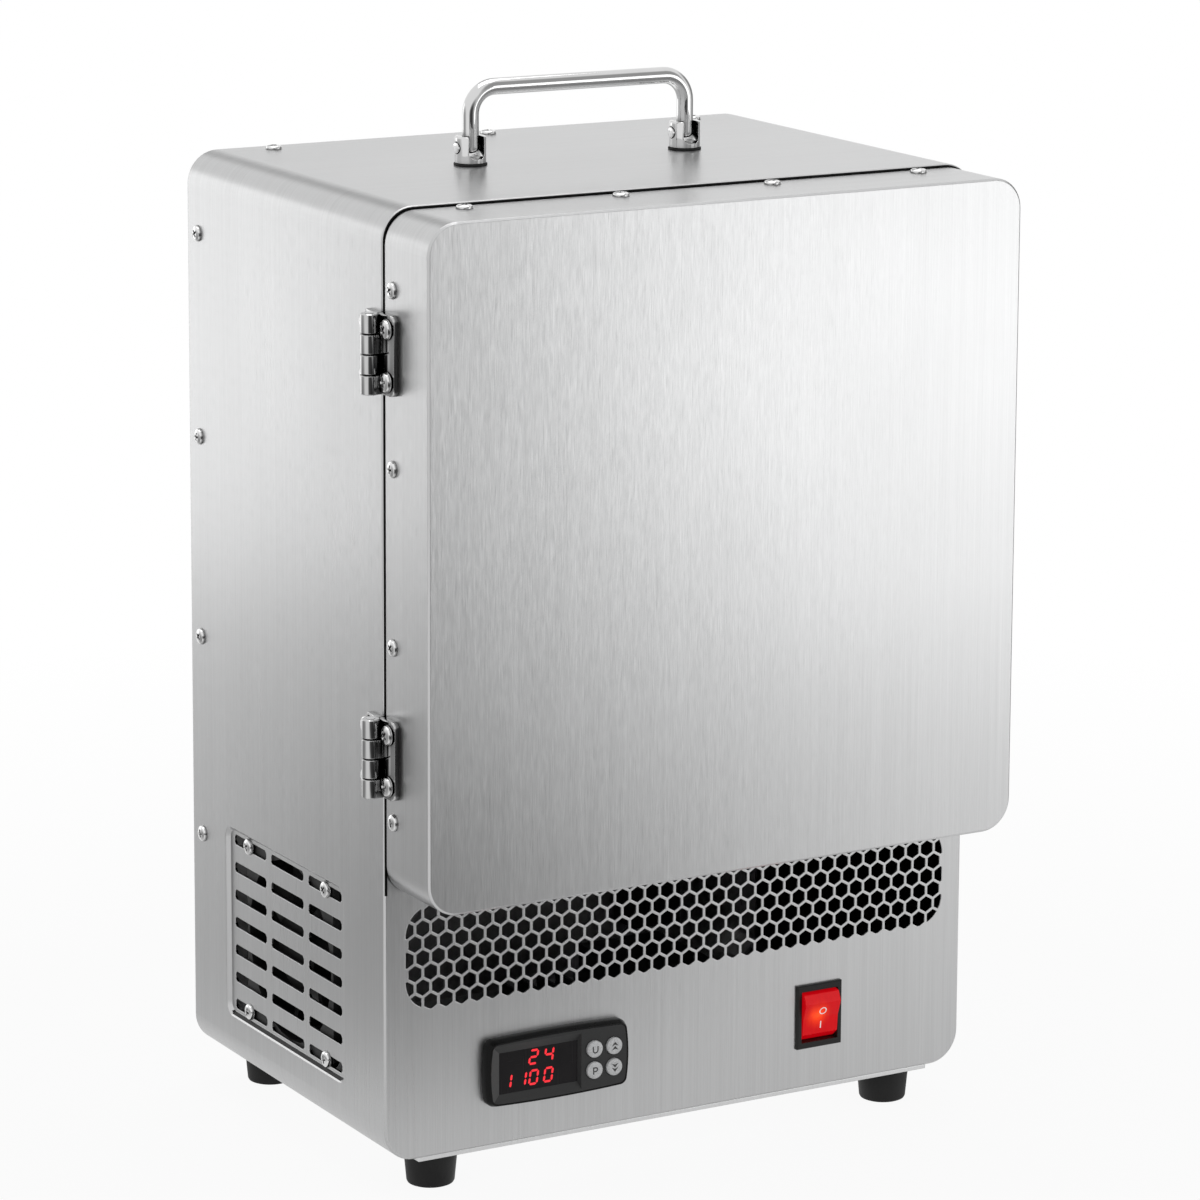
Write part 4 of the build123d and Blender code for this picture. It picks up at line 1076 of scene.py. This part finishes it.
def bezel_ring(inset, depth):
    """The bowed outline, drawn in by an inset, at a depth in front of the casing."""
    half_w, half_h, bow_w, bow_h = 37.9 - inset, 16.75 - inset, 1.3, 0.9
    outline = rounded_outline(2 * half_w, 2 * half_h, max(3.4 - inset * 0.5, 1.0))
    straights = {6: 16, 13: 7, 20: 16, 27: 7}
    return [
        (bezel_x + x - copysign(bow_w, x) * (z / half_h) ** 2 * abs(x) / half_w,
         bezel_z + z - copysign(bow_h, z) * (x / half_w) ** 2 * abs(z) / half_h,
         depth)
        for x, z in subdivide(outline, lambda i, length: straights.get(i, 1))
    ]


def ring_of(mesh, points):
    """Vertices of a closed outline; each point is x, z and depth."""
    return [mesh.verts.new((x, front - depth, z)) for x, z, depth in points]


mesh = bmesh.new()
rings = [ring_of(mesh, bezel_ring(inset, depth)) for inset, depth in (
    (0.0, 0.05), (0.0, 3.2), (0.2, 3.9), (0.7, 5.6), (1.0, 6.4), (1.35, 6.55), (1.7, 6.3),
    (1.75, 0.05),
)]
for low, high in zip(rings, rings[1:] + rings[:1]):
    skirt(mesh, low, high)
bezel = ("casing", "controller_bezel", "controller_plastic")
finish_piece("controller_bezel_rim", mesh, "controller_rim_shaded", *bezel, smooth=40.0)
print("bezel:", len(rings[0]), "points round its outline")

# %% [markdown]
# ## Controller face
# Round the display the face slopes in like a picture frame, widest on the
# left. The face is the area between its outline, the frame and the wells of
# the keys, filled with triangles.

# %% Controller face
key_places = {"function": (-50.75, 58.85), "program": (-50.75, 48.55),
              "up": (-40.25, 58.85), "down": (-40.25, 48.55)}
face_depth, well_radius = 6.2, 4.35
mesh = bmesh.new()
outer, behind = (ring_of(mesh, bezel_ring(1.72, depth)) for depth in (6.25, 2.9))
skirt(mesh, outer, behind)
mesh.faces.new(behind)
frame_points = [(-104.55 - 0.75 * (1 - (t / 4) ** 2), 54.0 + 3.45 * t) for t in range(-4, 5)]
frame_points += [(-57.6, 67.9), (-57.6, 40.1)]
pane_points = [(-100.1, 53.85 + 2.4875 * t) for t in range(-4, 5)] + [(-58.7, 63.8), (-58.7, 43.9)]
frame_outer, frame_inner, frame_floor = (
    ring_of(mesh, [(x, z, depth) for x, z in points])
    for points, depth in ((frame_points, face_depth), (pane_points, 4.15), (pane_points, 3.1))
)
skirt(mesh, frame_outer, frame_inner)
skirt(mesh, frame_inner, frame_floor)
mesh.faces.new(frame_floor)
borders = [outer, frame_outer]
for x, z in key_places.values():
    well, floor_of_well = (
        ring_of(mesh, [(x + a, z + b, depth) for a, b in circle(well_radius, 32)])
        for depth in (face_depth, 3.4)
    )
    skirt(mesh, well, floor_of_well)
    mesh.faces.new(floor_of_well)
    borders.append(well)
rim_edges = []
for border in borders:
    for pair in zip(border, border[1:] + border[:1]):
        rim_edges.append(mesh.edges.get(pair) or mesh.edges.new(pair))
bmesh.ops.triangle_fill(mesh, edges=rim_edges, use_beauty=True, use_dissolve=False)
finish_piece("controller_bezel_face", mesh, "controller_plastic", *bezel, smooth=20.0)
print("face filled between", len(borders), "borders")

# %% [markdown]
# ## Helpers for marks
# Marks are drawn as strokes and filled outlines on a plane, X to the right
# and Y up, and then given the thickness of a film of ink.

# %% Mark helpers
face_front = Matrix(((1, 0, 0, 0), (0, 0, -1, 0), (0, 1, 0, 0), (0, 0, 0, 1)))


def stroke(mesh, points, width, matrix, closed=False):
    """A flat line of even width, as quads with mitred joints."""
    sides = []
    for i, (x, y) in enumerate(points):
        before = points[i - 1] if closed or i else points[i]
        after = points[(i + 1) % len(points)] if closed or i < len(points) - 1 else points[i]
        heading = Vector((after[0] - before[0], after[1] - before[1])).normalized()
        normal = Vector((-heading.y, heading.x)) * width / 2
        sides.append([mesh.verts.new(matrix @ Vector((x + sign * normal.x, y + sign * normal.y, 0)))
                      for sign in (1, -1)])
    for first, second in zip(sides, sides[1:] + sides[:closed]):
        mesh.faces.new((first[1], second[1], second[0], first[0]))


def patch(mesh, outline, matrix):
    """A flat filled outline."""
    mesh.faces.new([mesh.verts.new(matrix @ Vector((x, y, 0))) for x, y in outline])


def arc(cx, cy, rx, ry, start, end, steps=12):
    """Points along an ellipse's arc."""
    turns = [radians(start + (end - start) * i / steps) for i in range(steps + 1)]
    return [(cx + rx * cos(a), cy + ry * sin(a)) for a in turns]


def print_marks(name, mesh, material, body, slot):
    """Give flat marks a film's thickness, down to just under the surface, and finish them."""
    bmesh.ops.recalc_face_normals(mesh, faces=mesh.faces)
    for face in mesh.faces:
        if face.normal.y > 0:
            face.normal_flip()
    bmesh.ops.solidify(mesh, geom=mesh.faces[:], thickness=0.06)
    finish_piece(name, mesh, material, body, slot=slot)


print("mark helpers ready")

# %% [markdown]
# ## Keys
# The four keys are soft grey caps with a domed rim. Each has its mark
# printed on it.

# %% Keys
key_face, key_length = -109.6, 3.4
key_cap = ((0, 0), (4.0, 0), (4.1, 0.2), (4.1, 2.75), (3.98, 3.1), (3.7, 3.27), (2.4, 3.36),
           (0, key_length))
for word in ("function", "up", "program", "down"):
    (x, z), name, body = key_places[word], f"key_{word}", f"{word}_key"
    mesh, mark = bmesh.new(), bmesh.new()
    lathe(mesh, key_cap, looking((0, -1, 0), (x, key_face + key_length, z)), 48)
    finish_piece(name + "_cap", mesh, "key_plastic", body, name)
    plane = moved(x, key_face - 0.03, z) @ face_front
    if word == "function":
        bowl = arc(0, -0.35, 1.25, 1.25, 180, 360)
        stroke(mark, [(-1.25, 1.5), *bowl, (1.25, 1.5)], 0.6, plane)
    elif word == "program":
        bowl = arc(0.1, 0.5, 0.95, 0.9, 90, -90)
        stroke(mark, [(-1.0, -1.75), (-1.0, 1.65)], 0.6, plane)
        stroke(mark, [(-1.0, 1.4), *bowl, (-1.0, -0.4)], 0.6, plane)
    else:
        flip = 1 if word == "up" else -1
        for rise in (0.05, -1.95):
            chevron = [(0, rise + 2.1), (1.75, rise), (0, rise + 0.7), (-1.75, rise)]
            patch(mark, [(a, flip * b) for a, b in chevron][::-flip], plane)
    print_marks(name + "_mark", mark, "dark_ink", body, "key_plastic")

# %% [markdown]
# ## Figures of the display
# Seven-segment figures are bars with pointed ends. A figure's six corners
# are numbered from the lower left, two to a row, and each pair of numbers is
# a lit bar. The figures lean as the display's do.

# %% Display figures
lit = {"0": "45 53 31 01 20 42", "1": "53 31", "2": "45 53 23 20 01", "4": "42 23 53 31"}
figure_width, figure_height, bar, slant, pane_y = 4.0, 6.4, 1.05, 0.14, -106.26


def figure(mesh, digit, x, z):
    """One lit figure with its lower left corner at x, z."""
    plane = moved(x, pane_y, z) @ face_front
    for pair in lit[digit].split():
        ends = [Vector((c % 2 * figure_width, c // 2 * figure_height / 2)) for c in map(int, pair)]
        way = (ends[1] - ends[0]).normalized()
        side = Vector((-way.y, way.x)) * bar / 2
        first, last = ends[0] + way * bar * 0.18, ends[1] - way * bar * 0.18
        inner, outer = first + way * bar / 2, last - way * bar / 2
        shape = [first, inner + side, outer + side, last, outer - side, inner - side]
        patch(mesh, [(p.x + slant * p.y, p.y) for p in shape[::-1]], plane)


mesh = bmesh.new()
for digits, z, places in (
    ("24", 56.2, (-84.4, -76.2)), ("1100", 46.4, (-98.4, -90.7, -84.4, -76.6))
):
    for digit, x in zip(digits, places):
        figure(mesh, digit, x, z)
print_marks("display_figures", mesh, "lit_figure", "casing", "display_window")

# %% [markdown]
# ## Marks of the switch
# The rocker carries the usual circle and bar for off and on. They lie on
# its two faces, which rise to both sides from a valley in the middle, so
# each mark's plane is tilted with the face under it.

# %% Switch marks
rocker_axis_y, rocker_tilt, valley_depth, face_run = -101.0, radians(12.0), 3.6, 8.0


def on_rocker(sideways, from_valley, sign):
    """A matrix on the rocker's upper (sign 1) or lower (sign -1) face."""
    depth, along = -(valley_depth + from_valley / face_run), sign * from_valley
    y = cos(rocker_tilt) * depth - sin(rocker_tilt) * along
    z = sin(rocker_tilt) * depth + cos(rocker_tilt) * along
    slope = Matrix.Rotation(rocker_tilt + atan2(1.0, face_run) * sign, 4, "X")
    place = moved(rocker_x + sideways, rocker_axis_y + y, rocker_z + z)
    return place @ slope @ moved(0, -0.06, 0) @ face_front


mark = bmesh.new()
stroke(mark, arc(0, 0, 1.75, 1.75, 0, 345, 23), 0.5, on_rocker(0.6, 3.6, 1), closed=True)
stroke(mark, [(0, -1.8), (0, 1.8)], 0.55, on_rocker(0.2, 3.8, -1))
print_marks("rocker_marks", mark, "white_ink", "rocker", "red_translucent_plastic")

# %% [markdown]
# ## Heating coils
# The chamber's side slabs carry grooves with coils of resistance wire. The
# engineering model fills each coil's space with a rod; here the wire itself
# is wound as a helix, with straight tails through the rear slab.

# %% Heating coils
coil_turns, per_turn, coil_radius, wire_radius = 30, 12, 2.95, 0.5
coil_front, coil_back = -80.3, 28.6
tail = ((0, 28.0), (1.45, 28.0), (1.5, 28.4), (1.5, 85.1), (0, 85.2))


def wire_coil(mesh, x, z):
    """One coil from front to back with its tail."""
    steps = coil_turns * per_turn
    points = []
    for i in range(steps + 1):
        a = 2 * pi * i / per_turn
        points.append(Vector((
            x + coil_radius * cos(a), coil_front + (coil_back - coil_front) * i / steps,
            z + coil_radius * sin(a),
        )))
    stations = []
    for i, centre in enumerate(points):
        heading = (points[min(i + 1, steps)] - points[max(i - 1, 0)]).normalized()
        outward = (centre - Vector((x, centre.y, z))).normalized()
        other = heading.cross(outward).normalized()
        stations.append((centre, outward, other, circle(wire_radius, 5)))
    tube(mesh, stations)
    backwards = Matrix.Rotation(-pi / 2, 4, "X")
    lathe(mesh, tail, moved(x, 0, z) @ backwards, 12)


for side, word in ((-1, "left"), (1, "right")):
    mesh = bmesh.new()
    for row in range(4):
        wire_coil(mesh, side * 94.4, door_mid + (row - 1.5) * 40.0)
    finish_piece(f"heating_coils_{word}", mesh, "heating_wire", "casing",
                 f"heating_element_{word}", smooth=80.0)

# %% [markdown]
# ## Door gasket
# A flat braided rope of ceramic fibre seals the door. It is swept round the
# plug as a soft oval section, bulging a little between its stitches.

# %% Door gasket
gasket_y, gasket_half, gasket_deep = -102.25, 4.85, 1.1


def squared(value, power):
    """A sine or cosine pushed outwards, which squares an oval."""
    return copysign(abs(value) ** power, value)


outline = rounded_outline(194.0, 194.0, 5.0, 8)
path = subdivide(outline, lambda i, length: max(1, round(length / 3.0)))
stations = []
for i, (x, z) in enumerate(path):
    (px, pz), (nx, nz) = path[i - 1], path[(i + 1) % len(path)]
    heading = Vector((nx - px, 0, nz - pz)).normalized()
    puff = 1.0 + 0.035 * sin(i * 2.1)
    section = [(gasket_half * puff * squared(a, 0.7), gasket_deep * puff * squared(b, 0.8))
               for a, b in circle(1.0, 14)]
    stations.append((Vector((x, gasket_y, door_mid + z)), Vector((heading.z, 0, -heading.x)),
                     Vector((0, 0.98, 0)), section))
mesh = bmesh.new()
tube(mesh, stations, closed=True)
finish_piece("door_gasket_rope", mesh, "fibre_insulation", "door", "door_gasket", smooth=80.0)
print("gasket swept round", len(path), "stations")

# %% [markdown]
# ## What the metal mirrors
# Polished metal looks like metal only when it has something dark to mirror
# beside the white, such as an unlit room between the soft boxes. This group
# tells how bright the room is in a direction. Its round dark places are given
# by bearing, rise, inner and outer radius in degrees, and depth.

# %% Group: studio room
dark_places = (
    (-100, -18, 10, 42, 0.65), (-90, -27, 6, 22, 0.5), (-110, -12, 16, 30, 0.85),
    (-58, 30, 20, 34, 0.6), (72, 30, 6, 14, 0.65), (10, 0, 20, 34, 0.7),
    (154, -20, 10, 35, 0.68),
)
room, given, result = start_group("studio_room", "Brightness", Direction=(0.0, 0.0, 1.0))
toward = vectors("NORMALIZE", given["Direction"])
brightness = maths("ADD", 1.0, 0.0)
for *degrees, depth in dark_places:
    bearing, rise, inner, outer = map(radians, degrees)
    level = cos(rise)
    centre = (level * cos(bearing), level * sin(bearing), sin(rise))
    near = vectors("DOT_PRODUCT", toward, centre)
    dark = remap(near, cos(outer), cos(inner), 1.0, 1.0 - depth)
    brightness = times(brightness, dark)
end_group(result, Brightness=brightness)

# %% [markdown]
# ## Floor and backdrop
# The kiln stands on a pale floor in front of white. The floor is lit like
# any surface, so it keeps the kiln's shadow, but what the camera, polished
# metal and glass see of it is mixed with white. Its colour is darker near the
# kiln, a painted shadow, and so is the white that metal sees in it, a painted
# shade.

# %% Floor
def show_room(rays, direction, strength=None):
    """White for the camera and through glass; the studio room for mirrored rays."""
    seen = use_group(room, Direction=direction)["Brightness"]
    if strength is not None:
        seen = times(strength, seen)
    mirrored = times(rays["Is Glossy Ray"], seen)
    plain = maths("MAXIMUM", rays["Is Camera Ray"], rays["Is Transmission Ray"])
    return maths("MAXIMUM", plain, mirrored)


disc = bmesh.new()
bmesh.ops.create_circle(disc, cap_ends=True, radius=12.0, segments=96)
floor_data = bpy.data.meshes.new("floor")
disc.to_mesh(floor_data)
disc.free()
floor = add_object("floor", floor_data)
floor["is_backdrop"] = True
lit_floor = new_finish("pale_floor", Roughness=0.9)
spot = here()
distance = vectors("LENGTH", spot)
far = remap(distance, 0.35, 2.2)
# painted shadow: the floor's colour darkens towards the kiln
feed(lit_floor, Base_Color=blend(far, grey(0.58), grey(0.86)))
# painted shade: the white that metal sees in the floor darkens towards the kiln
painted_floor_shade = add("ShaderNodeValToRGB")
painted_shade_reach = 2.5
fill(painted_floor_shade.inputs, (remap(distance, 0.0, painted_shade_reach),))
tones = ((0.1, 0.94), (0.6, 0.97), (1.2, 0.97), (2.0, 1.0))
while len(painted_floor_shade.color_ramp.elements) < len(tones):
    painted_floor_shade.color_ramp.elements.new(1.0)
for stop, (metres, level) in zip(painted_floor_shade.color_ramp.elements, tones):
    stop.position = metres / painted_shade_reach
    stop.color = grey(level)
rays = add("ShaderNodeLightPath").outputs
from_kiln = vectors("SUBTRACT", spot, (0.0, 0.0, 0.3))
white = add("ShaderNodeEmission")
feed(white, Color=(1, 1, 1, 1), Strength=show_room(rays, from_kiln, painted_floor_shade.outputs["Color"]))
by_camera = times(rays["Is Camera Ray"], remap(far, 0.0, 0.35, 0.93, 1.0))
mirrored = maths("MAXIMUM", rays["Is Glossy Ray"], rays["Is Transmission Ray"])
by_metal = times(mirrored, remap(distance, 0.25, 0.6, 0.75, 1.0))
share = maths("MAXIMUM", by_camera, by_metal)
mixed = add("ShaderNodeMixShader")
fill(mixed.inputs, (share, lit_floor.outputs[0], white.outputs[0]))
feed(canvas.nodes["Material Output"], Surface=mixed.outputs[0])
floor_data.materials.append(finishes["pale_floor"])
print("floor laid")

# %% [markdown]
# ## World
# The world is a soft, even white. Mirrored rays see the studio room in it,
# and surfaces that scatter light get a little less than the full white, so
# that the lamps can shape them.

# %% World
world = bpy.data.worlds.new("studio")
bpy.context.scene.world = world
world.use_nodes = True
work_on(world.node_tree)
rays = add("ShaderNodeLightPath").outputs
direction = add("ShaderNodeTexCoord").outputs["Generated"]
seen = show_room(rays, direction)
soft = times(rays["Is Diffuse Ray"], 0.62)
feed(canvas.nodes["Background"], Color=(1, 1, 1, 1), Strength=maths("MAXIMUM", seen, soft))
print("world lit")

# %% [markdown]
# ## Lamps
# Three soft boxes light the kiln: one at the front right, one behind on the
# left, and one above. Brushed metal is lit by what it mirrors, so the first
# two stand where the door and the side mirror them to the camera.

# %% Lamps
def soft_box(name, place, target, width, height, watts):
    """A large soft lamp aimed at a point."""
    lamp = bpy.data.lights.new(name, "AREA")
    lamp.shape = "RECTANGLE"
    lamp.size, lamp.size_y, lamp.energy = width, height, watts
    made = add_object(name, lamp)
    made.location = place
    made.rotation_euler = (Vector(target) - Vector(place)).to_track_quat("-Z", "Y").to_euler()
    made.visible_camera = False


soft_box("key_light", (0.66, -0.97, 0.36), (0, -0.1, 0.3), 0.46, 0.78, 1.36)
soft_box("side_light", (-0.6, 1.1, 0.3), (-0.15, 0.0, 0.25), 0.4, 0.8, 0.8)
soft_box("top_light", (0.1, 0.3, 2.2), (0, 0, 0.4), 1.4, 1.4, 12.0)
bpy.context.scene.view_settings.view_transform = "Standard"
print("lamps placed")

# %% Finish
low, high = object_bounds()
